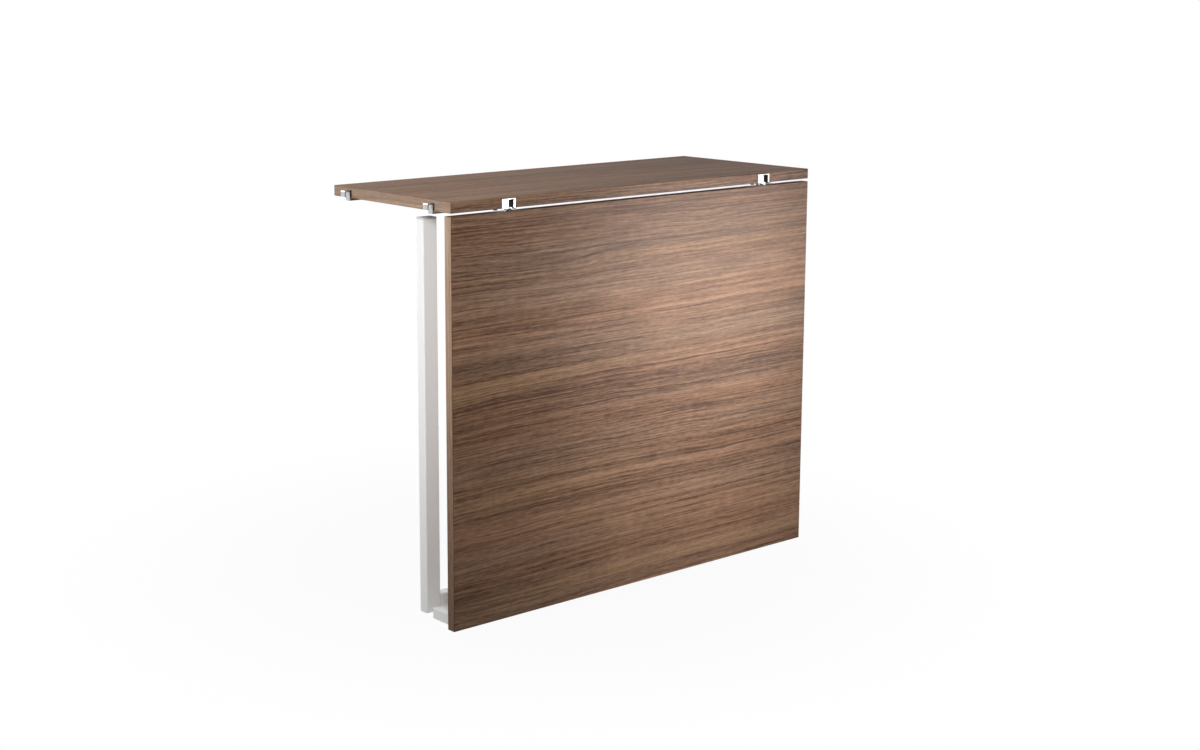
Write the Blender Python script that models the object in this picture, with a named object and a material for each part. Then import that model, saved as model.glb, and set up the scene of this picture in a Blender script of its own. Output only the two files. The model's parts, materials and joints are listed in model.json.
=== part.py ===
"""A wall-hung folding table.

A fixed shelf hangs by four hooks between two side frames. A flap drops from the shelf's front edge
on two let-in hinges, and a U-shaped leg frame is folded up behind the flap with its feet on top.

Frame: the origin is the centre of the shelf's rear edge, +X runs to the right, +Y to the wall, +Z up.
"""

from math import cos, pi, radians, sin

import bmesh
import bpy
from mathutils import Matrix, Vector

MM = 0.001

# Clearances
FIT = 0.3 * MM                   # gap between pieces that touch
OVERCUT = 2 * MM                 # how far a cutter reaches past the face it opens
MERGE = 0.003 * MM               # vertices nearer than this become one

# Boards
BOARD_WIDTH = 780 * MM
SHELF_DEPTH = 310 * MM
SHELF_THICK = 17 * MM
FLAP_HEIGHT = 645 * MM
FLAP_THICK = 16 * MM
HINGE_GAP = 5 * MM               # shelf underside to flap upper edge

# Flap hinge bodies, let into the shelf's front edge
HINGE_INSET = 110.5 * MM         # board end to the middle of a hinge body
HINGE_BODY_WIDTH = 26 * MM
HINGE_BODY_DEPTH = 28 * MM
HINGE_COVER = 2 * MM             # wood left above a hinge body
HINGE_SLOT_RIM = 3.3 * MM        # thin wall on the right of the slot
HINGE_SWING_GAP = 1.2 * MM       # room round the swinging eye
EAR_REACH = 11 * MM              # each screw ear beyond the body's side
EAR_DEPTH = 12 * MM
EAR_THICK = 2 * MM
EAR_SETBACK = 4 * MM             # shelf front edge to the ears

# Swinging eye, its pin and the plate on the flap
EYE_WIDTH = 10 * MM
EYE_RADIUS = 3.5 * MM
EYE_RECESS = 0.8 * MM            # shelf underside up to the eye's lower end
STUD_INSET = 2 * MM              # eye side to the stud that enters the plate's upright
STUD_LENGTH = 4 * MM
PIN_RADIUS = 2 * MM
PIN_RECESS = 1 * MM              # hinge body side to the pin's end
PLATE_LENGTH = 64 * MM
PLATE_WIDTH = 11 * MM
PLATE_THICK = 2.5 * MM
PLATE_SCREW_MARGIN = 8 * MM      # plate end to a plate screw

# Hooks on the shelf's ends
HOOK_FRONT_SETBACK = 49.5 * MM   # front edge to the front hooks
HOOK_REAR_SETBACK = 40 * MM      # rear edge to the rear hooks
HOOK_WIDTH = 11 * MM
HOOK_METAL = 2.5 * MM
HOOK_SLOT = 7 * MM               # slot that takes the rung
HOOK_SLOT_FILLET = 1.5 * MM
HOOK_CROWN_ROUND = 2 * MM
HOOK_DROP = 5 * MM               # shelf top to hook top
HOOK_PRONG = 10 * MM             # height of the outer prong
HOOK_PROUD = 1 * MM              # block beyond the board's end
HOOK_BLOCK_DEPTH = 8 * MM        # block inside the board's end
HOOK_POCKET_SLACK = 4 * MM       # open strip in the pocket in front of the hook
HOOK_TAB_LENGTH = 24 * MM
HOOK_TAB_THICK = 4.2 * MM

# Rail on the back of the flap
LEG_INSET = 5 * MM               # flap side to the rail and the leg frame
RAIL_INSET = 5 * MM              # flap lower edge to the rail
RAIL_THICK = 17.5 * MM
RAIL_DEPTH = 46.7 * MM
RAIL_ROUND = 3 * MM
RAIL_SCREW_COUNT = 5
RAIL_SCREW_MARGIN = 45 * MM      # rail end to the first screw
RAIL_SCREW_SINK = 18 * MM        # depth of a counterbore
RAIL_SCREW_BITE = 9 * MM         # screw length inside the flap

# Leg frame
TUBE_WIDTH = 27 * MM
TUBE_DEPTH = 18.2 * MM
TUBE_WALL = 1.5 * MM
TUBE_ROUND = 2 * MM
CROSSBAR_HEIGHT = 26.4 * MM
LEG_TOP_GAP = 14 * MM            # shelf underside to the folded feet
LEG_BUTT_GAP = 0.5 * MM          # leg end to rail end with the leg out
FOOT_CAP_THICK = 2.5 * MM
FOOT_PLUG_DEPTH = 15 * MM
POST_PLUG_DEPTH = 12 * MM

# Leg hinges
LEG_AXIS_REACH = 14.3 * MM       # rail end to the leg hinge axis
LEG_HINGE_INSET = 130 * MM       # board end to the middle of a leg hinge
LEAF_LENGTH = 60 * MM
LEAF_THICK = 2 * MM
LEAF_REACH = 34 * MM             # leaf on the rail
LEAF_MARGIN = 0.6 * MM           # bar leaf below the crossbar's upper face
LEAF_TRIM = 0.6 * MM             # leaf shorter than its knuckles at each end
KNUCKLE_RADIUS = 4 * MM
KNUCKLE_MIDDLE = 20 * MM         # length of the middle knuckle
KNUCKLE_GAP = 0.5 * MM
LEG_PIN_RADIUS = 2 * MM
LEAF_SCREW_MARGIN = 10 * MM      # leaf end to a leaf screw or a rivet

# Screws and rivets
SCREW_SHANK = 2 * MM             # radius
SCREW_HEAD = 3.7 * MM            # radius
SCREW_CROWN = 3 * MM             # radius of a pan head's flat top
SCREW_HEAD_HEIGHT = 2.2 * MM
PAN_HEIGHT = 3 * MM
SCREW_RIM = 0.4 * MM             # straight rim of a countersunk head
SCREW_TIP = 3 * MM
PLATE_SCREW_LENGTH = 30 * MM
BODY_SCREW_LENGTH = 12 * MM
HOOK_SCREW_LENGTH = 15 * MM
LEAF_SCREW_LENGTH = 13 * MM
RIVET_SHANK = 1.6 * MM           # radius
RIVET_HEAD = 2.6 * MM            # radius
RIVET_CROWN = 1.8 * MM           # radius of the head's flat top
RIVET_HEAD_HEIGHT = 1.2 * MM
RIVET_TAIL = 2.5 * MM            # beyond the tube wall

# Facets of round shapes
ROUND_SIDES = 24
SCREW_SIDES = 12
CORNER_STEPS = 4
SMOOTH_ANGLE = radians(35)

# Boards in place
HALF_WIDTH = BOARD_WIDTH / 2
SHELF_FRONT = -SHELF_DEPTH
SHELF_TOP = SHELF_THICK / 2
SHELF_UNDER = -SHELF_THICK / 2
FLAP_TOP = SHELF_UNDER - HINGE_GAP
FLAP_BOTTOM = FLAP_TOP - FLAP_HEIGHT
FLAP_BACK = SHELF_FRONT + FLAP_THICK
FLAP_MIDDLE = SHELF_FRONT + FLAP_THICK / 2

# Flap axis: half the shelf's thickness behind its front edge and at mid thickness,
# so that the gap is the same and the faces are flush with the flap down and with it up
FLAP_AXIS = Vector((0, SHELF_FRONT + SHELF_THICK / 2, 0))

# Rail and leg axis: the axis lies where the rail's upper plane meets the leg's front plane,
# so that the leg stands in line with the rail and butts on its end when it is out
RAIL_LOW = FLAP_BOTTOM + RAIL_INSET
RAIL_HIGH = RAIL_LOW + RAIL_THICK
RAIL_FRONT = FLAP_BACK + FIT
RAIL_END = RAIL_FRONT + RAIL_DEPTH
RAIL_HALF = HALF_WIDTH - LEG_INSET
LEG_AXIS = Vector((0, RAIL_END + LEG_AXIS_REACH, RAIL_HIGH))
LEG_FRONT = LEG_AXIS.y
LEG_BACK = LEG_FRONT + TUBE_DEPTH
LEG_LOW = LEG_AXIS.z - LEG_AXIS_REACH + LEG_BUTT_GAP
LEG_HIGH = SHELF_UNDER - LEG_TOP_GAP
POST_HIGH = LEG_HIGH - FOOT_CAP_THICK - FIT
CROSSBAR_HIGH = LEG_LOW + CROSSBAR_HEIGHT
CROSSBAR_HALF = RAIL_HALF - TUBE_WIDTH - FIT

SIDES = (("left", -1), ("right", 1))


def make_material(name, colour, roughness, metallic):
    """A plain Principled material."""
    material = bpy.data.materials.new(name)
    material.use_nodes = True
    shader = material.node_tree.nodes["Principled BSDF"]
    shader.inputs["Base Color"].default_value = (*colour, 1)
    shader.inputs["Roughness"].default_value = roughness
    shader.inputs["Metallic"].default_value = metallic
    return material


def make_pivot(name, point, parent=None):
    """An empty on a joint axis that carries the pieces that turn about it."""
    pivot = bpy.data.objects.new(name, None)
    bpy.context.collection.objects.link(pivot)
    pivot.parent = parent
    pivot.location = point - axis_of(parent)
    pivot["axis"] = tuple(point)
    return pivot


def axis_of(pivot):
    """World point of a pivot, or the origin for a fixed piece."""
    return Vector(pivot["axis"]) if pivot else Vector()


def add_object(name, bm, material, pivot):
    """Turn a bmesh in world space into an object whose origin is its pivot's axis."""
    bmesh.ops.remove_doubles(bm, verts=bm.verts, dist=MERGE)
    bmesh.ops.recalc_face_normals(bm, faces=bm.faces)
    bmesh.ops.translate(bm, verts=bm.verts, vec=-axis_of(pivot))
    mesh = bpy.data.meshes.new(name)
    bm.to_mesh(mesh)
    bm.free()
    mesh.shade_smooth()
    mesh.set_sharp_from_angle(angle=SMOOTH_ANGLE)
    if material:
        mesh.materials.append(material)
    piece = bpy.data.objects.new(name, mesh)
    piece.parent = pivot
    bpy.context.collection.objects.link(piece)
    return piece


def combine(piece, bm, operation, label):
    """Add a bmesh to a piece, or cut it out of the piece, with a Boolean modifier."""
    tool = add_object(f"{piece.name}.{label}", bm, None, piece.parent)
    tool.hide_render = True
    tool.display_type = "WIRE"
    modifier = piece.modifiers.new(label, "BOOLEAN")
    modifier.operation = operation
    modifier.solver = "EXACT"
    modifier.object = tool


def cut(piece, bm, label):
    """Cut a bmesh out of a piece."""
    combine(piece, bm, "DIFFERENCE", label)


def join(piece, bm, label):
    """Fuse a bmesh onto a piece."""
    combine(piece, bm, "UNION", label)


def box(low, high):
    """A box between two corners."""
    bm = bmesh.new()
    low = Vector(low)
    high = Vector(high)
    scale = Matrix.Diagonal((high - low).to_4d())
    bmesh.ops.create_cube(bm, size=1, matrix=Matrix.Translation((low + high) / 2) @ scale)
    return bm


def prism(outline, along, low, high):
    """A flat outline extruded from low to high along an axis; the outline gives the other two axes."""
    bm = bmesh.new()
    others = [axis for axis in range(3) if axis != along]
    corners = []
    for point in outline:
        corner = Vector()
        corner[others[0]] = point[0]
        corner[others[1]] = point[1]
        corner[along] = low
        corners.append(bm.verts.new(corner))
    face = bm.faces.new(corners)
    made = bmesh.ops.extrude_face_region(bm, geom=[face])
    moved = [item for item in made["geom"] if isinstance(item, bmesh.types.BMVert)]
    step = Vector()
    step[along] = high - low
    bmesh.ops.translate(bm, verts=moved, vec=step)
    return bm


def group(shapes):
    """One bmesh that holds several separate shapes."""
    bm = bmesh.new()
    for shape in shapes:
        mesh = bpy.data.meshes.new("shape")
        shape.to_mesh(mesh)
        shape.free()
        bm.from_mesh(mesh)
        bpy.data.meshes.remove(mesh)
    return bm


def arc(centre, radius, start, end, steps):
    """Points of a circular arc, angles in quarter turns."""
    angles = [(start + (end - start) * step / steps) * pi / 2 for step in range(steps + 1)]
    return [(centre[0] + radius * cos(angle), centre[1] + radius * sin(angle)) for angle in angles]


def rounded_rectangle(low, high, radius):
    """Outline of a rectangle with four round corners."""
    points = []
    corners = (
        (high[0] - radius, high[1] - radius),
        (low[0] + radius, high[1] - radius),
        (low[0] + radius, low[1] + radius),
        (high[0] - radius, low[1] + radius),
    )
    for quarter, centre in enumerate(corners):
        points += arc(centre, radius, quarter, quarter + 1, CORNER_STEPS)
    return points


def turned(profile, point=(0, 0, 0), direction=(0, 0, 1), sides=ROUND_SIDES):
    """A profile of (radius, distance) turned about a line that starts at a point."""
    bm = bmesh.new()
    corners = [bm.verts.new((radius, 0, distance)) for radius, distance in profile]
    edges = [bm.edges.new(pair) for pair in zip(corners, corners[1:])]
    bmesh.ops.spin(bm, geom=corners + edges, axis=(0, 0, 1), angle=2 * pi, steps=sides, use_merge=True)
    turn = heading(direction).to_matrix().to_4x4()
    bmesh.ops.transform(bm, matrix=Matrix.Translation(point) @ turn, verts=bm.verts)
    return bm


def heading(direction):
    """Rotation that turns +Z to a direction."""
    return Vector((0, 0, 1)).rotation_difference(Vector(direction))


def rod_profile(radius, length):
    """Profile of a plain round rod."""
    return [(0, 0), (radius, 0), (radius, length), (0, length)]


def countersunk_profile(length):
    """Profile of a countersunk wood screw, from its head's face to its tip."""
    return [
        (0, 0),
        (SCREW_HEAD, 0),
        (SCREW_HEAD, SCREW_RIM),
        (SCREW_SHANK, SCREW_HEAD_HEIGHT),
        (SCREW_SHANK, length - SCREW_TIP),
        (0, length),
    ]


def countersink_profile(depth):
    """Profile of the cutter for a countersunk hole."""
    return [
        (0, -OVERCUT),
        (SCREW_HEAD + FIT, -OVERCUT),
        (SCREW_HEAD + FIT, SCREW_RIM),
        (SCREW_SHANK + FIT, SCREW_HEAD_HEIGHT),
        (SCREW_SHANK + FIT, depth),
        (0, depth),
    ]


def pan_profile(length):
    """Profile of a pan-head wood screw whose shank starts at its head's seat."""
    return [
        (0, -PAN_HEIGHT),
        (SCREW_CROWN, -PAN_HEIGHT),
        (SCREW_HEAD, -PAN_HEIGHT / 2),
        (SCREW_HEAD, -FIT),
        (SCREW_SHANK, -FIT),
        (SCREW_SHANK, length - SCREW_TIP),
        (0, length),
    ]


def hole_profile(radius, depth):
    """Profile of the cutter for a plain hole, which starts above the surface."""
    return [(0, -OVERCUT), (radius, -OVERCUT), (radius, depth), (0, depth)]


def add_screws(name, material, pivot, profile, places):
    """Like screws, one object each on a shared mesh."""
    first = add_object(f"{name}_1", turned(profile, axis_of(pivot), sides=SCREW_SIDES), material, pivot)
    for number, (point, direction) in enumerate(places, 1):
        screw = first
        if number > 1:
            screw = bpy.data.objects.new(f"{name}_{number}", first.data)
            screw.parent = pivot
            bpy.context.collection.objects.link(screw)
        screw.location = Vector(point) - axis_of(pivot)
        screw.rotation_euler = heading(direction).to_euler()


def cut_holes(piece, profile, places, label):
    """Cut one hole for each screw of a group."""
    cut(piece, group(turned(profile, *place, SCREW_SIDES) for place in places), label)


def hinge_middle(side):
    """Middle of a flap hinge body across the board."""
    return side * (HALF_WIDTH - HINGE_INSET)


def slot_span(side):
    """Left and right walls of a hinge slot, off centre to the right in both hinges."""
    right = hinge_middle(side) + HINGE_BODY_WIDTH / 2 - HINGE_SLOT_RIM
    return right - EYE_WIDTH - 2 * FIT, right


def eye_middle(side):
    """Middle of the swinging eye across the board."""
    return sum(slot_span(side)) / 2


def ear_front():
    """Front edge of the hinge bodies' screw ears."""
    return SHELF_FRONT + EAR_SETBACK


def body_screw_places():
    """Seats and directions of the screws that hold the hinge bodies up into the shelf."""
    reach = (HINGE_BODY_WIDTH + EAR_REACH) / 2
    depth = ear_front() + EAR_DEPTH / 2
    places = []
    for _, side in SIDES:
        for end in (-1, 1):
            places.append(((hinge_middle(side) + end * reach, depth, SHELF_UNDER), (0, 0, 1)))
    return places


def plate_screw_places():
    """Seats and directions of the screws that hold the hinge plates on the flap's upper edge."""
    reach = PLATE_LENGTH / 2 - PLATE_SCREW_MARGIN
    places = []
    for _, side in SIDES:
        for end in (-1, 1):
            across = eye_middle(side) + end * reach
            places.append(((across, FLAP_MIDDLE, FLAP_TOP), (0, 0, -1)))
    return places


def hook_places():
    """Name, side and depth of each hook."""
    depths = (("front", SHELF_FRONT + HOOK_FRONT_SETBACK), ("rear", -HOOK_REAR_SETBACK))
    return [(f"hook_{end}_{name}", side, depth) for name, side in SIDES for end, depth in depths]


def tab_under():
    """Height of the hook tabs' lower face."""
    return SHELF_UNDER - FIT - HOOK_TAB_THICK


def hook_screw_places():
    """Seats and directions of the screws through the hook tabs into the shelf."""
    across = HALF_WIDTH - HOOK_BLOCK_DEPTH - HOOK_TAB_LENGTH / 2
    return [((side * across, depth, tab_under()), (0, 0, 1)) for _, side, depth in hook_places()]


def rail_screw_places():
    """Head seats and directions of the long screws through the rail into the flap."""
    span = 2 * (RAIL_HALF - RAIL_SCREW_MARGIN)
    middle = (RAIL_LOW + RAIL_HIGH) / 2
    places = []
    for number in range(RAIL_SCREW_COUNT):
        across = -span / 2 + span * number / (RAIL_SCREW_COUNT - 1)
        places.append(((across, RAIL_END, middle), (0, -1, 0)))
    return places


def leg_hinge_middle(side):
    """Middle of a leg hinge across the board."""
    return side * (HALF_WIDTH - LEG_HINGE_INSET)


def leaf_screw_places():
    """Seats and directions of the screws of the rail leaves."""
    reach = LEAF_LENGTH / 2 - LEAF_SCREW_MARGIN
    leaf_top = RAIL_HIGH + FIT + LEAF_THICK
    middle = RAIL_END - LEAF_REACH / 2
    places = []
    for _, side in SIDES:
        for end in (-1, 1):
            across = leg_hinge_middle(side) + end * reach
            places.append(((across, middle, leaf_top), (0, 0, -1)))
    return places


def rivet_places():
    """Head seats and directions of the rivets of the bar leaves."""
    reach = LEAF_LENGTH / 2 - LEAF_SCREW_MARGIN
    low = LEG_AXIS.z + KNUCKLE_RADIUS + KNUCKLE_GAP
    high = CROSSBAR_HIGH - LEAF_MARGIN
    front = LEG_FRONT - FIT - LEAF_THICK
    places = []
    for _, side in SIDES:
        for end in (-1, 1):
            across = leg_hinge_middle(side) + end * reach
            places.append(((across, front, (low + high) / 2), (0, 1, 0)))
    return places


def hinge_pocket(side):
    """Cutter for a hinge body's pocket in the shelf."""
    middle = hinge_middle(side)
    half = HINGE_BODY_WIDTH / 2 + FIT
    return box(
        (middle - half, SHELF_FRONT - OVERCUT, SHELF_UNDER - OVERCUT),
        (middle + half, SHELF_FRONT + HINGE_BODY_DEPTH + FIT, SHELF_TOP - HINGE_COVER),
    )


def ear_pocket(side):
    """Cutter for the shallow pocket of a hinge body's ears."""
    middle = hinge_middle(side)
    half = HINGE_BODY_WIDTH / 2 + EAR_REACH + FIT
    return box(
        (middle - half, ear_front() - FIT, SHELF_UNDER - OVERCUT),
        (middle + half, ear_front() + EAR_DEPTH + FIT, SHELF_UNDER + EAR_THICK + FIT),
    )


def hook_pocket(side, depth):
    """Cutter for a hook's pocket in the shelf's end."""
    left, right = sorted((side * (HALF_WIDTH + OVERCUT), side * (HALF_WIDTH - HOOK_BLOCK_DEPTH - FIT)))
    return box(
        (left, depth - HOOK_WIDTH / 2 - HOOK_POCKET_SLACK, SHELF_UNDER - OVERCUT),
        (right, depth + HOOK_WIDTH / 2 + FIT, SHELF_TOP - HOOK_DROP + FIT),
    )


def make_shelf(material):
    """The shelf board with pockets for the hinge bodies and hooks, and pilot holes."""
    shelf = add_object(
        "shelf_board",
        box((-HALF_WIDTH, SHELF_FRONT, SHELF_UNDER), (HALF_WIDTH, 0, SHELF_TOP)),
        material,
        None,
    )
    cut(shelf, group(hinge_pocket(side) for _, side in SIDES), "hinge_pockets")
    cut(shelf, group(ear_pocket(side) for _, side in SIDES), "ear_pockets")
    cut(shelf, group(hook_pocket(side, depth) for _, side, depth in hook_places()), "hook_pockets")
    body_pilot = hole_profile(SCREW_SHANK + FIT, BODY_SCREW_LENGTH + FIT)
    cut_holes(shelf, body_pilot, body_screw_places(), "body_pilots")
    hook_pilot = hole_profile(SCREW_SHANK + FIT, HOOK_SCREW_LENGTH + FIT)
    cut_holes(shelf, hook_pilot, hook_screw_places(), "hook_pilots")


def make_hinge_body(name, side, material):
    """One hinge body: a block with screw ears, a slot open to the front and below, and a pin bore."""
    middle = hinge_middle(side)
    half = HINGE_BODY_WIDTH / 2
    body = add_object(
        f"hinge_body_{name}",
        box(
            (middle - half, SHELF_FRONT, SHELF_UNDER),
            (middle + half, SHELF_FRONT + HINGE_BODY_DEPTH, SHELF_TOP - HINGE_COVER - FIT),
        ),
        material,
        None,
    )
    ears = box(
        (middle - half - EAR_REACH, ear_front(), SHELF_UNDER),
        (middle + half + EAR_REACH, ear_front() + EAR_DEPTH, SHELF_UNDER + EAR_THICK),
    )
    join(body, ears, "ears")
    slot_left, slot_right = slot_span(side)
    swing = EYE_RADIUS + HINGE_SWING_GAP
    slot = box(
        (slot_left, SHELF_FRONT - OVERCUT, SHELF_UNDER - OVERCUT),
        (slot_right, FLAP_AXIS.y + swing, FLAP_AXIS.z + swing),
    )
    cut(body, slot, "slot")
    bore_start = (middle - half - OVERCUT, FLAP_AXIS.y, FLAP_AXIS.z)
    bore = turned(rod_profile(PIN_RADIUS + FIT, HINGE_BODY_WIDTH + 2 * OVERCUT), bore_start, (1, 0, 0))
    cut(body, bore, "pin_bore")
    seats = [place for place in body_screw_places() if place[0][0] * side > 0]
    cut_holes(body, hole_profile(SCREW_SHANK + FIT, EAR_THICK + OVERCUT), seats, "screw_holes")


def make_hinge_pin(name, side, material):
    """The pin that a flap hinge turns on."""
    length = HINGE_BODY_WIDTH - 2 * PIN_RECESS
    start = (hinge_middle(side) - length / 2, FLAP_AXIS.y, FLAP_AXIS.z)
    pin = turned(rod_profile(PIN_RADIUS, length), start, (1, 0, 0))
    add_object(f"hinge_pin_{name}", pin, material, None)


def upright_top():
    """Height of the hinge plate's upright, just inside the slot's mouth."""
    return SHELF_UNDER + EYE_RECESS - FIT


def stud_half():
    """Half width and half depth of the eye's stud."""
    return EYE_WIDTH / 2 - STUD_INSET, EYE_RADIUS - STUD_INSET


def make_hinge_eye(name, side, material, pivot):
    """The swinging eye on the pin, with a stud that enters the plate's upright."""
    middle = eye_middle(side)
    axis = FLAP_AXIS
    low = SHELF_UNDER + EYE_RECESS
    outline = arc((axis.y, axis.z), EYE_RADIUS, 0, 2, 2 * CORNER_STEPS)
    outline += [(axis.y - EYE_RADIUS, low), (axis.y + EYE_RADIUS, low)]
    eye = add_object(
        f"hinge_eye_{name}",
        prism(outline, 0, middle - EYE_WIDTH / 2, middle + EYE_WIDTH / 2),
        material,
        pivot,
    )
    half_x, half_y = stud_half()
    stud = box(
        (middle - half_x, axis.y - half_y, low - FIT - STUD_LENGTH),
        (middle + half_x, axis.y + half_y, low + STUD_INSET),
    )
    join(eye, stud, "stud")
    bore_start = (middle - EYE_WIDTH / 2 - OVERCUT, axis.y, axis.z)
    bore = turned(rod_profile(PIN_RADIUS + FIT, EYE_WIDTH + 2 * OVERCUT), bore_start, (1, 0, 0))
    cut(eye, bore, "pin_bore")


def make_hinge_plate(name, side, material, pivot):
    """The plate let into the flap's upper edge, with the upright that carries the eye."""
    middle = eye_middle(side)
    axis = FLAP_AXIS
    plate = add_object(
        f"hinge_plate_{name}",
        box(
            (middle - PLATE_LENGTH / 2, FLAP_MIDDLE - PLATE_WIDTH / 2, FLAP_TOP - PLATE_THICK),
            (middle + PLATE_LENGTH / 2, FLAP_MIDDLE + PLATE_WIDTH / 2, FLAP_TOP),
        ),
        material,
        pivot,
    )
    upright = box(
        (middle - EYE_WIDTH / 2, axis.y - EYE_RADIUS, FLAP_TOP - PLATE_THICK / 2),
        (middle + EYE_WIDTH / 2, axis.y + EYE_RADIUS, upright_top()),
    )
    join(plate, upright, "upright")
    half_x, half_y = stud_half()
    socket = box(
        (middle - half_x - FIT, axis.y - half_y - FIT, upright_top() - STUD_LENGTH - FIT),
        (middle + half_x + FIT, axis.y + half_y + FIT, upright_top() + OVERCUT),
    )
    cut(plate, socket, "stud_socket")
    seats = [place for place in plate_screw_places() if place[0][0] * side > 0]
    cut_holes(plate, countersink_profile(PLATE_THICK + OVERCUT), seats, "screw_holes")


def make_hook(name, side, depth, material):
    """One hook: a block in the board's end, a slot for the rung and a tab under the shelf."""
    top = SHELF_TOP - HOOK_DROP
    ceiling = top - HOOK_METAL
    slot_in = HALF_WIDTH + HOOK_PROUD
    slot_out = slot_in + HOOK_SLOT
    outer = slot_out + HOOK_METAL
    block = HALF_WIDTH - HOOK_BLOCK_DEPTH
    tip = top - HOOK_PRONG
    tab = SHELF_UNDER - FIT
    fillet = HOOK_SLOT_FILLET
    crown = HOOK_CROWN_ROUND
    outline = arc((outer - crown, top - crown), crown, 0, 1, CORNER_STEPS)
    outline += [(block, top), (block, tab), (block - HOOK_TAB_LENGTH, tab)]
    outline += [(block - HOOK_TAB_LENGTH, tab_under()), (slot_in, tab_under())]
    outline += arc((slot_in + fillet, ceiling - fillet), fillet, 2, 1, CORNER_STEPS)
    outline += arc((slot_out - fillet, ceiling - fillet), fillet, 1, 0, CORNER_STEPS)
    outline += arc(((slot_out + outer) / 2, tip + HOOK_METAL / 2), HOOK_METAL / 2, 2, 4, 2 * CORNER_STEPS)
    outline = [(side * across, height) for across, height in outline]
    hook = add_object(
        name,
        prism(outline, 1, depth - HOOK_WIDTH / 2, depth + HOOK_WIDTH / 2),
        material,
        None,
    )
    seats = [place for place in hook_screw_places() if place[0][0] * side > 0 and place[0][1] == depth]
    cut_holes(hook, countersink_profile(HOOK_TAB_THICK + OVERCUT), seats, "screw_holes")


def plate_pocket(side):
    """Cutter for a hinge plate's pocket in the flap's upper edge."""
    middle = eye_middle(side)
    half = PLATE_LENGTH / 2 + FIT
    return box(
        (middle - half, FLAP_MIDDLE - PLATE_WIDTH / 2 - FIT, FLAP_TOP - PLATE_THICK - FIT),
        (middle + half, FLAP_MIDDLE + PLATE_WIDTH / 2 + FIT, FLAP_TOP + OVERCUT),
    )


def make_flap(material, pivot):
    """The flap board with pockets for the hinge plates and pilot holes."""
    flap = add_object(
        "flap_board",
        box((-HALF_WIDTH, SHELF_FRONT, FLAP_BOTTOM), (HALF_WIDTH, FLAP_BACK, FLAP_TOP)),
        material,
        pivot,
    )
    cut(flap, group(plate_pocket(side) for _, side in SIDES), "plate_pockets")
    plate_hole = hole_profile(SCREW_SHANK + FIT, PLATE_SCREW_LENGTH + FIT)
    cut_holes(flap, plate_hole, plate_screw_places(), "plate_pilots")
    rail_hole = hole_profile(SCREW_SHANK + FIT, RAIL_DEPTH + FIT + RAIL_SCREW_BITE + FIT)
    cut_holes(flap, rail_hole, rail_screw_places(), "rail_pilots")


def make_rail(material, pivot):
    """The rail behind the flap, with counterbored screw holes and pilots for the hinge leaves."""
    corner = RAIL_ROUND
    outline = [(-RAIL_HALF, RAIL_FRONT), (RAIL_HALF, RAIL_FRONT)]
    outline += arc((RAIL_HALF - corner, RAIL_END - corner), corner, 0, 1, CORNER_STEPS)
    outline += arc((-RAIL_HALF + corner, RAIL_END - corner), corner, 1, 2, CORNER_STEPS)
    rail = add_object("leg_rail", prism(outline, 2, RAIL_LOW, RAIL_HIGH), material, pivot)
    bore = [
        (0, -OVERCUT),
        (SCREW_HEAD + FIT, -OVERCUT),
        (SCREW_HEAD + FIT, RAIL_SCREW_SINK),
        (SCREW_SHANK + FIT, RAIL_SCREW_SINK),
        (SCREW_SHANK + FIT, RAIL_DEPTH + OVERCUT),
        (0, RAIL_DEPTH + OVERCUT),
    ]
    cut_holes(rail, bore, rail_screw_places(), "screw_bores")
    leaf_pilot = hole_profile(SCREW_SHANK + FIT, LEAF_SCREW_LENGTH + FIT)
    cut_holes(rail, leaf_pilot, leaf_screw_places(), "leaf_pilots")


def make_rail_screws(material, pivot):
    """The long pan-head screws in the rail's counterbores."""
    length = RAIL_DEPTH - RAIL_SCREW_SINK + FIT + RAIL_SCREW_BITE
    places = []
    for point, direction in rail_screw_places():
        places.append((Vector(point) + RAIL_SCREW_SINK * Vector(direction), direction))
    add_screws("rail_screw", material, pivot, pan_profile(length), places)


def knuckle_span(side, margin):
    """Ends of the middle knuckle of a leg hinge across the board, widened by a margin."""
    middle = leg_hinge_middle(side)
    half = KNUCKLE_MIDDLE / 2 + margin
    return middle - half, middle + half


def knuckle(left, right, radius):
    """A round body along a leg hinge's axis."""
    return turned(rod_profile(radius, right - left), (left, LEG_AXIS.y, LEG_AXIS.z), (1, 0, 0))


def make_rail_leaf(name, side, material, pivot):
    """The leaf on the rail, with the two outer knuckles of a leg hinge."""
    left = leg_hinge_middle(side) - LEAF_LENGTH / 2
    right = leg_hinge_middle(side) + LEAF_LENGTH / 2
    gap_left, gap_right = knuckle_span(side, KNUCKLE_GAP)
    inset_left, inset_right = knuckle_span(side, KNUCKLE_GAP + LEAF_TRIM)
    start = RAIL_END - LEAF_REACH
    notch = LEG_AXIS.y - KNUCKLE_RADIUS - KNUCKLE_GAP
    tongue = LEG_AXIS.y - LEG_PIN_RADIUS
    outline = [(left + LEAF_TRIM, start), (right - LEAF_TRIM, start), (right - LEAF_TRIM, tongue)]
    outline += [(inset_right, tongue), (inset_right, notch), (inset_left, notch), (inset_left, tongue)]
    outline += [(left + LEAF_TRIM, tongue)]
    low = RAIL_HIGH + FIT
    leaf = add_object(f"rail_leaf_{name}", prism(outline, 2, low, low + LEAF_THICK), material, pivot)
    seats = [place for place in leaf_screw_places() if place[0][0] * side > 0]
    cut_holes(leaf, countersink_profile(LEAF_THICK + OVERCUT), seats, "screw_holes")
    join(leaf, knuckle(left, gap_left, KNUCKLE_RADIUS), "left_knuckle")
    join(leaf, knuckle(gap_right, right, KNUCKLE_RADIUS), "right_knuckle")
    cut(leaf, knuckle(left - OVERCUT, right + OVERCUT, LEG_PIN_RADIUS + FIT), "pin_bore")


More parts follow.
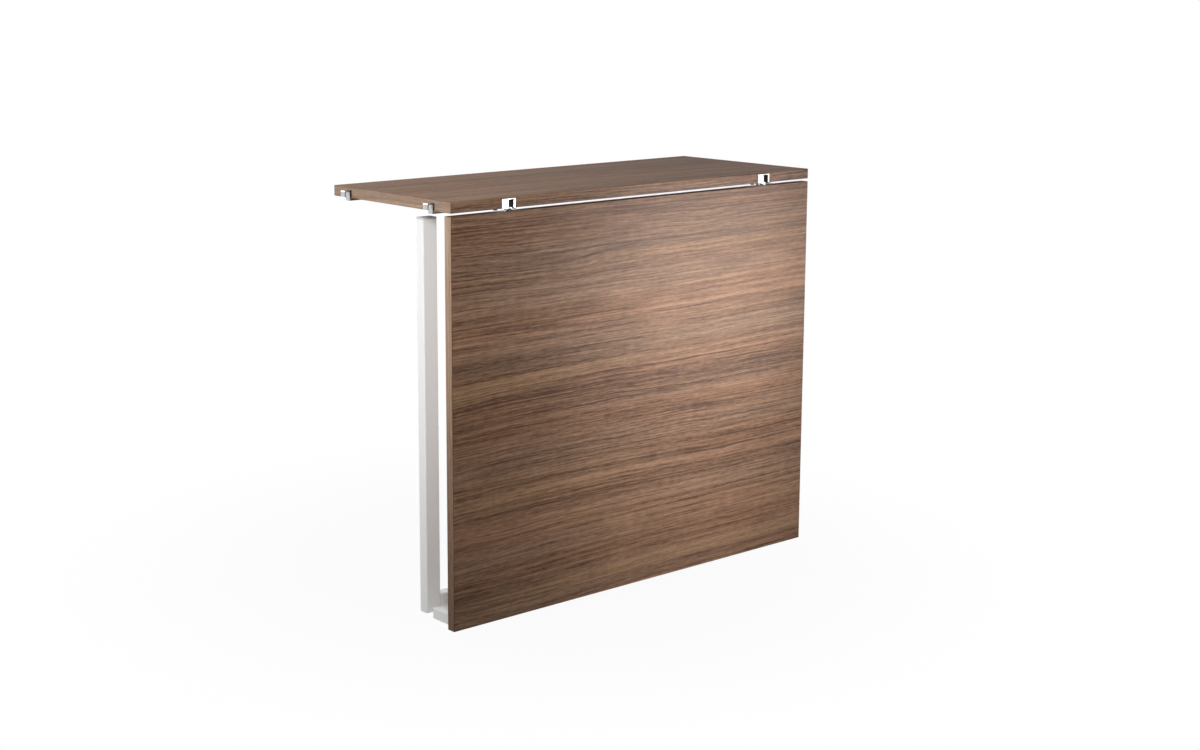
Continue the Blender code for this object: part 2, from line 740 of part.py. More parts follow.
def make_bar_leaf(name, side, material, pivot):
    """The leaf on the crossbar, with the middle knuckle of a leg hinge."""
    left = leg_hinge_middle(side) - LEAF_LENGTH / 2 + LEAF_TRIM
    right = leg_hinge_middle(side) + LEAF_LENGTH / 2 - LEAF_TRIM
    inset_left, inset_right = knuckle_span(side, -LEAF_TRIM)
    low = LEG_AXIS.z + KNUCKLE_RADIUS + KNUCKLE_GAP
    high = CROSSBAR_HIGH - LEAF_MARGIN
    tongue = LEG_AXIS.z + LEG_PIN_RADIUS
    outline = [(left, high), (right, high), (right, low), (inset_right, low), (inset_right, tongue)]
    outline += [(inset_left, tongue), (inset_left, low), (left, low)]
    back = LEG_FRONT - FIT
    leaf = add_object(f"bar_leaf_{name}", prism(outline, 1, back - LEAF_THICK, back), material, pivot)
    seats = [place for place in rivet_places() if place[0][0] * side > 0]
    cut_holes(leaf, hole_profile(RIVET_SHANK + FIT, LEAF_THICK + OVERCUT), seats, "rivet_holes")
    inner_left, inner_right = knuckle_span(side, 0)
    join(leaf, knuckle(inner_left, inner_right, KNUCKLE_RADIUS), "middle_knuckle")
    cut(leaf, knuckle(inner_left - OVERCUT, inner_right + OVERCUT, LEG_PIN_RADIUS + FIT), "pin_bore")


def make_leg_pin(name, side, material, pivot):
    """The pin through a leg hinge's knuckles."""
    half = LEAF_LENGTH / 2 - PIN_RECESS
    middle = leg_hinge_middle(side)
    pin = knuckle(middle - half, middle + half, LEG_PIN_RADIUS)
    add_object(f"leg_hinge_pin_{name}", pin, material, pivot)


def knuckle_window(side):
    """Cutter for the window in the crossbar's front wall that a leg hinge turns in."""
    middle = leg_hinge_middle(side)
    half = LEAF_LENGTH / 2 + KNUCKLE_GAP
    clear = KNUCKLE_RADIUS + KNUCKLE_GAP
    return box(
        (middle - half, LEG_FRONT - OVERCUT, LEG_AXIS.z - clear),
        (middle + half, LEG_FRONT + TUBE_WALL + OVERCUT, LEG_AXIS.z + clear),
    )


def make_crossbar(material, pivot):
    """The tube across the leg frame, with windows for the hinge knuckles and holes for the rivets."""
    outline = rounded_rectangle((LEG_FRONT, LEG_LOW), (LEG_BACK, CROSSBAR_HIGH), TUBE_ROUND)
    bar = add_object("leg_crossbar", prism(outline, 0, -CROSSBAR_HALF, CROSSBAR_HALF), material, pivot)
    bore = box(
        (-CROSSBAR_HALF - OVERCUT, LEG_FRONT + TUBE_WALL, LEG_LOW + TUBE_WALL),
        (CROSSBAR_HALF + OVERCUT, LEG_BACK - TUBE_WALL, CROSSBAR_HIGH - TUBE_WALL),
    )
    cut(bar, bore, "bore")
    cut(bar, group(knuckle_window(side) for _, side in SIDES), "knuckle_windows")
    rivet_hole = hole_profile(RIVET_SHANK + FIT, LEAF_THICK + FIT + TUBE_WALL + OVERCUT)
    cut_holes(bar, rivet_hole, rivet_places(), "rivet_holes")


def post_span(side):
    """Lower and higher X of a leg post."""
    return sorted((side * RAIL_HALF, side * (RAIL_HALF - TUBE_WIDTH)))


def make_post(name, side, material, pivot):
    """One leg post, a tube open at both ends."""
    left, right = post_span(side)
    outline = rounded_rectangle((left, LEG_FRONT), (right, LEG_BACK), TUBE_ROUND)
    post = add_object(f"leg_post_{name}", prism(outline, 2, LEG_LOW, POST_HIGH), material, pivot)
    bore = box(
        (left + TUBE_WALL, LEG_FRONT + TUBE_WALL, LEG_LOW - OVERCUT),
        (right - TUBE_WALL, LEG_BACK - TUBE_WALL, POST_HIGH + OVERCUT),
    )
    cut(post, bore, "bore")


def plug_box(side, low, high):
    """A plug that fits inside a post."""
    left, right = post_span(side)
    gap = TUBE_WALL + FIT
    return box((left + gap, LEG_FRONT + gap, low), (right - gap, LEG_BACK - gap, high))


def make_foot_cap(name, side, material, pivot):
    """The plastic foot on a post: a flange with a plug inside the tube."""
    left, right = post_span(side)
    outline = rounded_rectangle((left, LEG_FRONT), (right, LEG_BACK), TUBE_ROUND)
    low = LEG_HIGH - FOOT_CAP_THICK
    cap = add_object(f"foot_cap_{name}", prism(outline, 2, low, LEG_HIGH), material, pivot)
    join(cap, plug_box(side, low - FOOT_PLUG_DEPTH, low + FOOT_CAP_THICK / 2), "plug")


def make_post_plug(name, side, material, pivot):
    """The plug that closes a post's hinged end."""
    add_object(f"post_plug_{name}", plug_box(side, LEG_LOW, LEG_LOW + POST_PLUG_DEPTH), material, pivot)


def rivet_profile():
    """Profile of a rivet from its head's crown to its tail inside the tube."""
    tail = LEAF_THICK + FIT + TUBE_WALL + RIVET_TAIL
    return [
        (0, -RIVET_HEAD_HEIGHT - FIT),
        (RIVET_CROWN, -RIVET_HEAD_HEIGHT - FIT),
        (RIVET_HEAD, -RIVET_HEAD_HEIGHT / 2 - FIT),
        (RIVET_HEAD, -FIT),
        (RIVET_SHANK, -FIT),
        (RIVET_SHANK, tail),
        (0, tail),
    ]


def main():
    for old in list(bpy.data.objects):
        bpy.data.objects.remove(old)

    walnut = make_material("walnut_veneer", (0.205, 0.115, 0.068), 0.45, 0)
    white_lacquer = make_material("white_lacquer", (0.86, 0.86, 0.85), 0.4, 0)
    white_rail = make_material("white_lacquered_wood", (0.84, 0.84, 0.83), 0.45, 0)
    bright_chrome = make_material("bright_chrome", (0.78, 0.78, 0.79), 0.12, 1)
    bright_zinc = make_material("bright_zinc", (0.54, 0.55, 0.57), 0.28, 1)
    dark_steel = make_material("dark_steel", (0.06, 0.06, 0.065), 0.4, 1)
    black_plastic = make_material("black_plastic", (0.012, 0.012, 0.013), 0.5, 0)
    grey_plastic = make_material("grey_plastic", (0.58, 0.58, 0.585), 0.55, 0)
    white_plastic = make_material("white_plastic", (0.8, 0.8, 0.79), 0.5, 0)

    flap_pivot = make_pivot("flap_pivot", FLAP_AXIS)
    leg_pivot = make_pivot("leg_pivot", LEG_AXIS, flap_pivot)

    make_shelf(walnut)
    for name, side, depth in hook_places():
        make_hook(name, side, depth, bright_zinc)
    make_flap(walnut, flap_pivot)
    make_rail(white_rail, flap_pivot)
    make_crossbar(white_lacquer, leg_pivot)
    for name, side in SIDES:
        make_hinge_body(name, side, bright_chrome)
        make_hinge_pin(name, side, bright_zinc)
        make_hinge_eye(name, side, black_plastic, flap_pivot)
        make_hinge_plate(name, side, bright_chrome, flap_pivot)
        make_rail_leaf(name, side, bright_zinc, flap_pivot)
        make_leg_pin(name, side, bright_zinc, flap_pivot)
        make_bar_leaf(name, side, bright_zinc, leg_pivot)
        make_post(name, side, white_lacquer, leg_pivot)
        make_foot_cap(name, side, grey_plastic, leg_pivot)
        make_post_plug(name, side, white_plastic, leg_pivot)

    add_screws("hinge_body_screw", dark_steel, None, pan_profile(BODY_SCREW_LENGTH), body_screw_places())
    add_screws("hook_screw", bright_zinc, None, countersunk_profile(HOOK_SCREW_LENGTH), hook_screw_places())
    plate_screw = countersunk_profile(PLATE_SCREW_LENGTH)
    add_screws("hinge_plate_screw", dark_steel, flap_pivot, plate_screw, plate_screw_places())
    leaf_screw = countersunk_profile(LEAF_SCREW_LENGTH)
    add_screws("rail_leaf_screw", bright_zinc, flap_pivot, leaf_screw, leaf_screw_places())
    make_rail_screws(bright_zinc, flap_pivot)
    add_screws("bar_leaf_rivet", bright_zinc, leg_pivot, rivet_profile(), rivet_places())


if __name__ == "__main__":
    main()
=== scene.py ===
"""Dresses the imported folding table: veneered boards, white leg frame, plated fittings and a pale studio."""

import json
from math import pi, radians

import bmesh
import bpy
from bpy.props import FloatProperty, FloatVectorProperty, IntProperty, PointerProperty
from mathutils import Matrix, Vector

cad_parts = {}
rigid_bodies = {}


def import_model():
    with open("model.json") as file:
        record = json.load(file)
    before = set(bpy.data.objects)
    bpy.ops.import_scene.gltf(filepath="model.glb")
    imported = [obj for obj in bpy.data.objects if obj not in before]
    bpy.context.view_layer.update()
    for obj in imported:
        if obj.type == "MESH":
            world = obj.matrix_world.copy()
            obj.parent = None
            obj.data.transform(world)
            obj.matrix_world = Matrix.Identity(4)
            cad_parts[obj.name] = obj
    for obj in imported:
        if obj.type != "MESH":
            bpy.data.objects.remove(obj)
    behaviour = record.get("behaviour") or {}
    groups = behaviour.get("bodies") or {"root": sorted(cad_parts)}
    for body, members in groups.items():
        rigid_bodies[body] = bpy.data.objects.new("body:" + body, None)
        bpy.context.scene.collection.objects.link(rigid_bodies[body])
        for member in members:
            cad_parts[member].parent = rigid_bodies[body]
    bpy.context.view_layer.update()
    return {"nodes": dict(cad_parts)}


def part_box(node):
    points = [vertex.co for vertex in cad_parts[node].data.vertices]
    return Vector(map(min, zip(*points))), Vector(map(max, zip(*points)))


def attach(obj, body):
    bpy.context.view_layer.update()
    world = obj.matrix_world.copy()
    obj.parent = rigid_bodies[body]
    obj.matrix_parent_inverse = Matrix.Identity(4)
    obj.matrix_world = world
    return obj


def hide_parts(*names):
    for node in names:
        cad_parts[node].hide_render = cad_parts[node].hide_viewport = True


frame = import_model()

bl_info = {
    "name": "Wall Folding Table",
    "version": (1, 0, 0),
    "blender": (4, 5, 0),
    "location": "View3D > Sidebar > Folding Table",
    "description": "Builds the finished pieces of a wall-hung folding table on its packed frame",
    "category": "Object",
}

MM = 0.001
RINGS_PER_METRE = 110
RIM_WIDTH = 2.4 * MM
MERGE = 0.003 * MM
ON_FACE = 0.03 * MM
SQUARE_ON = 0.99
FLAT_ANGLE = radians(1)
SMOOTH_ANGLE = radians(50)
SIDES = ("left", "right")
X, Y, Z = range(3)
FACE, END, EDGE, CORE = range(4)


def length(name, description, value):
    """A property for a size in metres."""
    return FloatProperty(name=name, description=description, default=value, unit="LENGTH", precision=5)


def facets(name, description, value):
    """A property for a count of facets."""
    return IntProperty(name=name, description=description, default=value, min=1)


def power(name, description, value):
    """A property for a lamp's power."""
    return FloatProperty(name=name, description=description, default=value, min=0, unit="POWER")


def colour(name, description, value):
    """A property for a linear colour."""
    return FloatVectorProperty(
        name=name, description=description, default=value, size=3, min=0, max=1, subtype="COLOR"
    )


class BoardSettings(bpy.types.PropertyGroup):
    """Walnut boards."""

    arris: length("Arris", "Rounding of the boards' edges", 0.7 * MM)
    arris_steps: facets("Arris steps", "Facets across a rounded edge", 3)
    light: colour("Light wood", "Early wood of the veneer", (0.297, 0.175, 0.107))
    dark: colour("Dark wood", "Late wood of the veneer", (0.068, 0.0314, 0.0178))
    edge_light: colour("Light edge", "Early wood of the edge strips", (0.49, 0.345, 0.245))
    edge_dark: colour("Dark edge", "Late wood of the edge strips", (0.115, 0.058, 0.030))
    core: colour("Core", "Pressed chips inside the boards", (0.26, 0.175, 0.105))


class FrameSettings(bpy.types.PropertyGroup):
    """White leg frame and rail."""

    corner: length("Tube corner", "Outer rounding of the leg tube", 2 * MM)
    corner_steps: facets("Corner steps", "Facets in a tube corner", 7)
    wall: length("Tube wall", "Thickness of the leg tube's wall", 1.5 * MM)
    bead: length("Weld bead", "Radius of the ground weld between crossbar and post", 0.55 * MM)
    bead_sink: length("Weld sink", "How far the bead's middle lies inside the tube's face", 0.35 * MM)
    rail_ease: length("Rail edge", "Rounding of the rail's long edges", 1.2 * MM)
    cap_ease: length("Cap edge", "Rounding of the foot caps", 0.9 * MM)
    lacquer: colour("Lacquer", "White powder coat", (0.86, 0.86, 0.85))
    cap: colour("Foot cap", "Grey plastic", (0.58, 0.58, 0.585))
    plug: colour("Post plug", "White plastic", (0.8, 0.8, 0.79))


class FittingSettings(bpy.types.PropertyGroup):
    """Hinges, hooks and fixings."""

    ease: length("Edge", "Rounding of the metal fittings' edges", 0.3 * MM)
    head: length("Screw head", "Radius of a screw head", 3.7 * MM)
    shank: length("Screw shank", "Radius of a screw shank", 2 * MM)
    rivet_head: length("Rivet head", "Radius of a rivet head", 2.6 * MM)
    rivet_shank: length("Rivet shank", "Radius of a rivet shank", 1.6 * MM)
    recess: length("Recess", "Width of a cross recess's wing", 0.9 * MM)
    chrome: colour("Chrome", "Polished plating", (0.78, 0.78, 0.79))
    zinc: colour("Zinc", "Bright zinc plating", (0.54, 0.55, 0.57))
    dark_steel: colour("Dark steel", "Black oxide", (0.06, 0.06, 0.065))
    eye: colour("Hinge eye", "Black plastic", (0.012, 0.012, 0.013))


class StudioSettings(bpy.types.PropertyGroup):
    """Camera, lamps and floor."""

    floor: length("Floor", "Height of the floor, where the feet stand when the table is open", -0.6826)
    key: power("Key", "Gridded softbox at the front right, for the flap's sheen", 0.7)
    low: power("Low", "Gridded softbox in front of the flap's lower half", 0.9)
    front: power("Front", "Gridded softbox at the front left", 2.5)
    side: power("Side", "Gridded softbox at the left", 0.55)
    back: power("Back", "Softbox above the shelf's rear edge", 12)
    rear: power("Rear", "Wide softbox behind the legs", 30)
    right: power("Right", "Wide softbox at the right end", 14)
    fill: FloatProperty(name="Fill", description="Light from all round", default=0.12, min=0)


class TableSettings(bpy.types.PropertyGroup):
    """All settings of the table."""

    boards: PointerProperty(type=BoardSettings)
    legs: PointerProperty(type=FrameSettings)
    fittings: PointerProperty(type=FittingSettings)
    studio: PointerProperty(type=StudioSettings)


def settings():
    """This scene's settings."""
    return bpy.context.scene.folding_table


# Node helpers


def add_node(tree, kind, inputs=None, **options):
    """Add a node; an input is a plain value or another node's output."""
    node = tree.nodes.new(kind)
    for name, value in options.items():
        setattr(node, name, value)
    for key, value in (inputs or {}).items():
        if isinstance(value, bpy.types.NodeSocket):
            tree.links.new(value, node.inputs[key])
        else:
            node.inputs[key].default_value = value
    return node


def output(tree, kind, inputs=None, **options):
    """First output of a new node."""
    return add_node(tree, kind, inputs, **options).outputs[0]


def maths(tree, operation, first, second=0.0, third=0.0):
    """Output of a Math node."""
    return output(tree, "ShaderNodeMath", {0: first, 1: second, 2: third}, operation=operation)


def noise(tree, vector, stretch, shift=0.0, detail=1.0):
    """Smooth noise of a vector, stretched so many cycles per metre along each axis."""
    terms = {0: vector, 1: stretch, 2: (shift, shift, shift)}
    scaled = output(tree, "ShaderNodeVectorMath", terms, operation="MULTIPLY_ADD")
    return output(tree, "ShaderNodeTexNoise", {"Vector": scaled, "Scale": 1.0, "Detail": detail})


def centred(tree, value, gain):
    """A 0 to 1 value moved to 0 and multiplied."""
    return maths(tree, "MULTIPLY_ADD", value, gain, -0.5 * gain)


def spread_about(tree, value, spread, middle):
    """A 0 to 1 value spread about a middle by another node's output."""
    return maths(tree, "MULTIPLY_ADD", maths(tree, "SUBTRACT", value, 0.5), spread, middle)


def step(tree, value, low, high, start=0.0, end=1.0):
    """A smooth step of a value."""
    limits = {"Value": value, "From Min": low, "From Max": high, "To Min": start, "To Max": end}
    return output(tree, "ShaderNodeMapRange", limits, interpolation_type="SMOOTHSTEP")


def ridge(tree, vector, stretch, shift, width):
    """Thin lines where smooth noise crosses its middle."""
    level = maths(tree, "ABSOLUTE", centred(tree, noise(tree, vector, stretch, shift), 1.0))
    return step(tree, level, 0.0, width, 1.0, 0.0)


def mixed(tree, factor, first, second, blend="MIX"):
    """Output of a colour Mix node."""
    inputs = {0: factor, 6: first, 7: second}
    return add_node(tree, "ShaderNodeMix", inputs, data_type="RGBA", blend_type=blend).outputs[2]


def shaded(tree, tint, value):
    """A colour multiplied by a value."""
    grey = output(tree, "ShaderNodeCombineColor", {0: value, 1: value, 2: value})
    return mixed(tree, 1.0, tint, grey, "MULTIPLY")


def node_group(kind, inputs, outputs):
    """Makes a function into one that builds its node group once and then finds it by the function's name.

    The function gets the tree and the group's inputs, and returns what goes to the outputs, in order.
    """

    def decorate(build):
        def find():
            name = build.__name__
            if name in bpy.data.node_groups:
                return bpy.data.node_groups[name]
            tree = bpy.data.node_groups.new(name, f"{kind}NodeTree")
            for in_out, sockets in (("INPUT", inputs), ("OUTPUT", outputs)):
                for label, value_type, *value in sockets:
                    socket_type = f"NodeSocket{value_type}"
                    socket = tree.interface.new_socket(label, in_out=in_out, socket_type=socket_type)
                    if value:
                        socket.default_value = value[0]
            given = tree.nodes.new("NodeGroupInput").outputs
            result = tree.nodes.new("NodeGroupOutput").inputs
            for value, socket in zip(build(tree, given), result):
                tree.links.new(value, socket)
            return tree

        return find

    return decorate


# Shared finishes

SKIN = (("Colour", "Color"), ("Roughness", "Float"), ("Height", "Float"))


@node_group(
    "Shader",
    (
        ("Grain", "Vector"),
        ("Light", "Color"),
        ("Dark", "Color"),
        ("Arris", "Float", 0.0),
        ("Half Width", "Float", 1.0),
        ("Tone", "Float", 0.52),
        ("Fade", "Float", 0.0),
        ("Figure", "Float", 1.0),
        ("Gloss", "Float", 0.6),
    ),
    SKIN,
)
def walnut_figure(tree, given):
    """Veneer figure on coordinates laid along the grain: wandering bands, lines, ripple and pores."""
    grain = given["Grain"]
    along, across, board = add_node(tree, "ShaderNodeSeparateXYZ", {0: grain}).outputs

    sweep = centred(tree, noise(tree, grain, (1.0, 1.6, 1), 3.1), 0.05)
    swirl = step(tree, noise(tree, grain, (5, 8, 1), 7.7), 0.5, 0.72, 0.25, 1.5)
    wave = maths(tree, "MULTIPLY", centred(tree, noise(tree, grain, (5, 12, 1), 1.9), 0.01), swirl)
    wobble = centred(tree, noise(tree, grain, (22, 45, 1), 5.3), 0.0015)
    bent = maths(tree, "ADD", maths(tree, "ADD", across, sweep), maths(tree, "ADD", wave, wobble))
    flow = output(tree, "ShaderNodeCombineXYZ", {0: along, 1: bent, 2: board})

    # Each layer of the bands: cycles per metre, shift, detail and gain.
    figure = 0.0
    layers = (
        ((0.4, 3.5, 1), 17.0, 1.0, 0.65),
        ((0.4, 8, 1), 11.0, 1.5, 0.85),
        ((0.5, 36, 1), 23.0, 2.0, 0.65),
        ((0.9, 120, 1), 31.0, 1.0, 0.55),
        ((1.8, 280, 1), 37.0, 1.0, 1.0),
        ((10, 12, 1), 29.0, 2.0, 0.1),
        ((26, 40, 1), 19.0, 3.0, 0.14),
        ((110, 60, 1), 13.0, 2.0, 0.16),
        ((12, 420, 1), 41.0, 1.0, 1.2),
        ((60, 420, 1), 47.0, 1.0, 0.9),
    )
    for stretch, shift, detail, gain in layers:
        figure = maths(tree, "ADD", centred(tree, noise(tree, flow, stretch, shift, detail), gain), figure)

    crowding = centred(tree, noise(tree, flow, (0.5, 7, 1), 43.0), 16)
    ring = maths(tree, "FRACT", maths(tree, "MULTIPLY_ADD", bent, RINGS_PER_METRE, crowding))
    late_wood = maths(tree, "POWER", ring, 3.0)
    late_share = step(tree, noise(tree, flow, (0.6, 11, 1), 57.0), 0.35, 0.65, 0.2, 1.0)
    dark_lines = ridge(tree, flow, (0.35, 16, 1), 53.0, 0.03)
    dark_share = step(tree, noise(tree, flow, (0.7, 14, 1), 59.0), 0.4, 0.65)
    light_lines = ridge(tree, flow, (0.5, 30, 1), 61.0, 0.03)
    light_share = step(tree, noise(tree, flow, (0.8, 9, 1), 63.0), 0.42, 0.7)
    tan = step(tree, noise(tree, flow, (0.6, 12, 1), 69.0), 0.57, 0.7)
    ripple = centred(tree, noise(tree, grain, (110, 14, 1), 67.0), 0.9)
    ripple_share = maths(tree, "MULTIPLY", tan, step(tree, noise(tree, grain, (4, 9, 1), 71.0), 0.5, 0.7))
    for mark, share, gain in (
        (late_wood, late_share, -0.36),
        (dark_lines, dark_share, -0.3),
        (light_lines, light_share, 0.34),
        (ripple, ripple_share, 0.5),
    ):
        figure = maths(tree, "MULTIPLY_ADD", maths(tree, "MULTIPLY", mark, share), gain, figure)
    figure = maths(tree, "MULTIPLY_ADD", tan, 0.22, figure)
    # This tilt of the tone along the grain is painted shade: lighter at one end and darker towards the other.
    ground = maths(tree, "MULTIPLY_ADD", along, given["Fade"], given["Tone"])
    tone = maths(tree, "MULTIPLY_ADD", figure, given["Figure"], ground)
    wood = mixed(tree, tone, given["Dark"], given["Light"])

    pores = step(tree, noise(tree, flow, (110, 1500, 1), 83.0, 1.0), 0.6, 0.72)
    drift = step(tree, noise(tree, flow, (0.9, 18, 1), 97.0, 1.0), 0.35, 0.65)
    hue = mixed(tree, drift, (1.045, 0.982, 0.95, 1), (0.972, 1.0, 1.035, 1))
    hue = mixed(tree, tan, hue, (1.03, 1.03, 0.94, 1))
    wood = mixed(tree, 1.0, wood, hue, "MULTIPLY")
    shade = maths(tree, "MULTIPLY_ADD", pores, -0.25, 1.0)
    rim_start = maths(tree, "SUBTRACT", given["Half Width"], RIM_WIDTH)
    rim = step(tree, maths(tree, "ABSOLUTE", along), rim_start, given["Half Width"])
    shade = maths(tree, "MULTIPLY_ADD", maths(tree, "MAXIMUM", rim, given["Arris"]), -0.45, shade)
    wood = shaded(tree, wood, shade)

    rough = maths(tree, "MULTIPLY_ADD", pores, 0.1, given["Gloss"])
    rough = maths(tree, "MULTIPLY_ADD", tone, 0.06, rough)
    height = maths(tree, "MULTIPLY_ADD", pores, -1.0, maths(tree, "MULTIPLY", tone, 0.3))
    return wood, rough, height


@node_group(
    "Shader",
    (
        ("Colour", "Color"),
        ("Mottle", "Float", 0.02),
        ("Gloss", "Float", 0.4),
        ("Unevenness", "Float", 0.06),
        ("Pimples", "Float", 900.0),
    ),
    SKIN,
)
def coat_texture(tree, given):
    """Sprayed or moulded skin: faint mottling, uneven gloss and fine pimples."""
    spot = add_node(tree, "ShaderNodeTexCoord").outputs["Object"]
    cloud = noise(tree, spot, (9, 9, 9), 2.0, 3.0)
    smudge = noise(tree, spot, (35, 35, 21), 8.0, 3.0)
    tint = shaded(tree, given["Colour"], spread_about(tree, cloud, given["Mottle"], 1.0))
    rough = spread_about(tree, smudge, given["Unevenness"], given["Gloss"])
    inputs = {"Vector": spot, "Scale": given["Pimples"], "Detail": 1.0}
    return tint, rough, output(tree, "ShaderNodeTexNoise", inputs)


@node_group(
    "Shader",
    (("Colour", "Color"), ("Blotch", "Float", 0.1), ("Gloss", "Float", 0.2), ("Rub", "Float", 0.1)),
    SKIN,
)
def plating(tree, given):
    """Plated metal: faint blotches, fine rub marks along the piece and uneven gloss."""
    spot = add_node(tree, "ShaderNodeTexCoord").outputs["Object"]
    cells = add_node(tree, "ShaderNodeTexVoronoi", {"Vector": spot, "Scale": 420.0})
    cell = output(tree, "ShaderNodeSeparateColor", {0: cells.outputs["Color"]})
    tint = shaded(tree, given["Colour"], spread_about(tree, cell, given["Blotch"], 1.0))
    marks = noise(tree, spot, (90, 2600, 1700), 4.0, 2.0)
    return tint, spread_about(tree, marks, given["Rub"], given["Gloss"]), marks


def rgba(values):
    """A colour with full alpha."""
    return (*values, 1.0)


def add_relief(tree, height, strength, depth):
    """Bump on a material's shader."""
    relief = output(tree, "ShaderNodeBump", {"Strength": strength, "Distance": depth, "Height": height})
    tree.links.new(relief, tree.nodes["Principled BSDF"].inputs["Normal"])


def finish_material(name, group, inputs, bump, bump_depth, **shader_values):
    """A Principled material fed by a shared finish; shader values are set on the shader's own sockets."""
    name = f"{name}_finish"
    if name in bpy.data.materials:
        return bpy.data.materials[name]
    material = bpy.data.materials.new(name)
    material.use_nodes = True
    tree = material.node_tree
    shader = tree.nodes["Principled BSDF"]
    finish = add_node(tree, "ShaderNodeGroup", node_tree=group)
    for label, value in inputs.items():
        if isinstance(value, str):
            source = add_node(tree, "ShaderNodeAttribute", attribute_name=value)
            wanted = "Fac" if finish.inputs[label].type == "VALUE" else "Vector"
            tree.links.new(source.outputs[wanted], finish.inputs[label])
        else:
            finish.inputs[label].default_value = value
    tree.links.new(finish.outputs["Colour"], shader.inputs["Base Color"])
    tree.links.new(finish.outputs["Roughness"], shader.inputs["Roughness"])
    add_relief(tree, finish.outputs["Height"], bump, bump_depth)
    for label, value in shader_values.items():
        shader.inputs[label.replace("_", " ")].default_value = value
    return material


def walnut(name, light, dark, specular, **more):
    """Lacquered walnut that follows the piece's own grain attribute."""
    inputs = {"Grain": "grain", "Arris": "arris", "Light": rgba(light), "Dark": rgba(dark)}
    inputs.update({label.replace("_", " "): value for label, value in more.items()})
    return finish_material(name, walnut_figure(), inputs, 0.25, 0.08 * MM, Specular_IOR_Level=specular)


# Sprayed or moulded slots: where the colour is set, gloss, mottle and pimples per metre.
COATS = {
    "white_lacquer": ("legs", "lacquer", 0.36, 0.03, 1400.0),
    "white_lacquered_wood": ("legs", "lacquer", 0.42, 0.035, 900.0),
    "grey_plastic": ("legs", "cap", 0.55, 0.08, 2200.0),
    "white_plastic": ("legs", "plug", 0.5, 0.03, 2200.0),
    "black_plastic": ("fittings", "eye", 0.5, 0.2, 2600.0),
}
# Plated slots: where the colour is set, gloss, blotches and rub marks.
PLATINGS = {
    "bright_chrome": ("fittings", "chrome", 0.11, 0.02, 0.05),
    "bright_zinc": ("fittings", "zinc", 0.27, 0.16, 0.14),
    "dark_steel": ("fittings", "dark_steel", 0.36, 0.2, 0.12),
}


def finish_of(slot):
    """Material of a coated or plated slot."""
    group, setting, *values = COATS.get(slot) or PLATINGS[slot]
    tint = rgba(getattr(getattr(settings(), group), setting))
    if slot in COATS:
        inputs = {"Colour": tint, **dict(zip(("Gloss", "Mottle", "Pimples"), values))}
        return finish_material(slot, coat_texture(), inputs, 0.12, 0.06 * MM)
    inputs = {"Colour": tint, **dict(zip(("Gloss", "Blotch", "Rub"), values))}
    return finish_material(slot, plating(), inputs, 0.08, 0.03 * MM, Metallic=1.0)


def chipboard():
    """Pressed wood chips, seen only in the pockets of the boards."""
    if "chipboard" in bpy.data.materials:
        return bpy.data.materials["chipboard"]
    material = bpy.data.materials.new("chipboard")
    material.use_nodes = True
    tree = material.node_tree
    shader = tree.nodes["Principled BSDF"]
    spot = add_node(tree, "ShaderNodeTexCoord").outputs["Object"]
    chips = add_node(tree, "ShaderNodeTexVoronoi", {"Vector": spot, "Scale": 650.0})
    chip = output(tree, "ShaderNodeSeparateColor", {0: chips.outputs["Color"]})
    tint = shaded(tree, rgba(settings().boards.core), maths(tree, "MULTIPLY_ADD", chip, 0.7, 0.5))
    tree.links.new(tint, shader.inputs["Base Color"])
    tree.links.new(maths(tree, "MULTIPLY_ADD", chip, 0.2, 0.7), shader.inputs["Roughness"])
    add_relief(tree, chips.outputs["Distance"], 0.6, 0.2 * MM)
    return material


# Mesh helpers


def copy_of(node):
    """A merged copy of a CAD node, with its flat faces whole."""
    bm = bmesh.new()
    bm.from_mesh(frame["nodes"][node].data)
    bmesh.ops.remove_doubles(bm, verts=bm.verts, dist=MERGE)
    bmesh.ops.dissolve_limit(bm, angle_limit=FLAT_ANGLE, verts=bm.verts, edges=bm.edges)
    return bm


def convex(edge):
    """True for an outer corner."""
    return edge.is_manifold and edge.calc_face_angle_signed() > SMOOTH_ANGLE


def ease(bm, width, steps, wanted):
    """Round the outer edges that are wanted."""
    edges = [edge for edge in bm.edges if convex(edge) and wanted(edge)]
    bmesh.ops.bevel(
        bm, geom=edges, offset=width, offset_type="OFFSET", segments=steps, profile=0.5, affect="EDGES"
    )


def longer_than(limit):
    """Chooses straight edges and leaves the facets of round holes."""
    return lambda edge: edge.calc_length() > limit


def level_with(height):
    """Chooses the edges that lie at a height."""
    return lambda edge: all(abs(vert.co.z - height) < MERGE for vert in edge.verts)


def rim_of(axis):
    """Chooses the edges of faces that look along an axis."""
    return lambda edge: any(abs(face.normal[axis]) > SQUARE_ON for face in edge.link_faces)


def settle(piece):
    """Give a piece smooth shading with flat faces kept flat, and turn its modifiers into plain mesh."""
    piece.data.shade_smooth()
    piece.data.set_sharp_from_angle(angle=SMOOTH_ANGLE)
    piece.modifiers.new("flat_faces", "WEIGHTED_NORMAL").keep_sharp = True
    bake(piece)


def bake(piece):
    """Replace a piece's mesh with what its modifiers make of it."""
    graph = bpy.context.evaluated_depsgraph_get()
    mesh = bpy.data.meshes.new_from_object(piece.evaluated_get(graph), depsgraph=graph)
    mesh.name = piece.name
    piece.modifiers.clear()
    piece.data = mesh


def new_piece(name, mesh):
    """An object at the origin for a mesh in place."""
    piece = bpy.data.objects.new(name, mesh)
    bpy.context.scene.collection.objects.link(piece)
    return piece


def piece_from(name, bm, *materials):
    """A piece from a bmesh in place."""
    mesh = bpy.data.meshes.new(name)
    bm.to_mesh(mesh)
    bm.free()
    for material in materials:
        mesh.materials.append(material)
    piece = new_piece(name, mesh)
    settle(piece)
    return piece


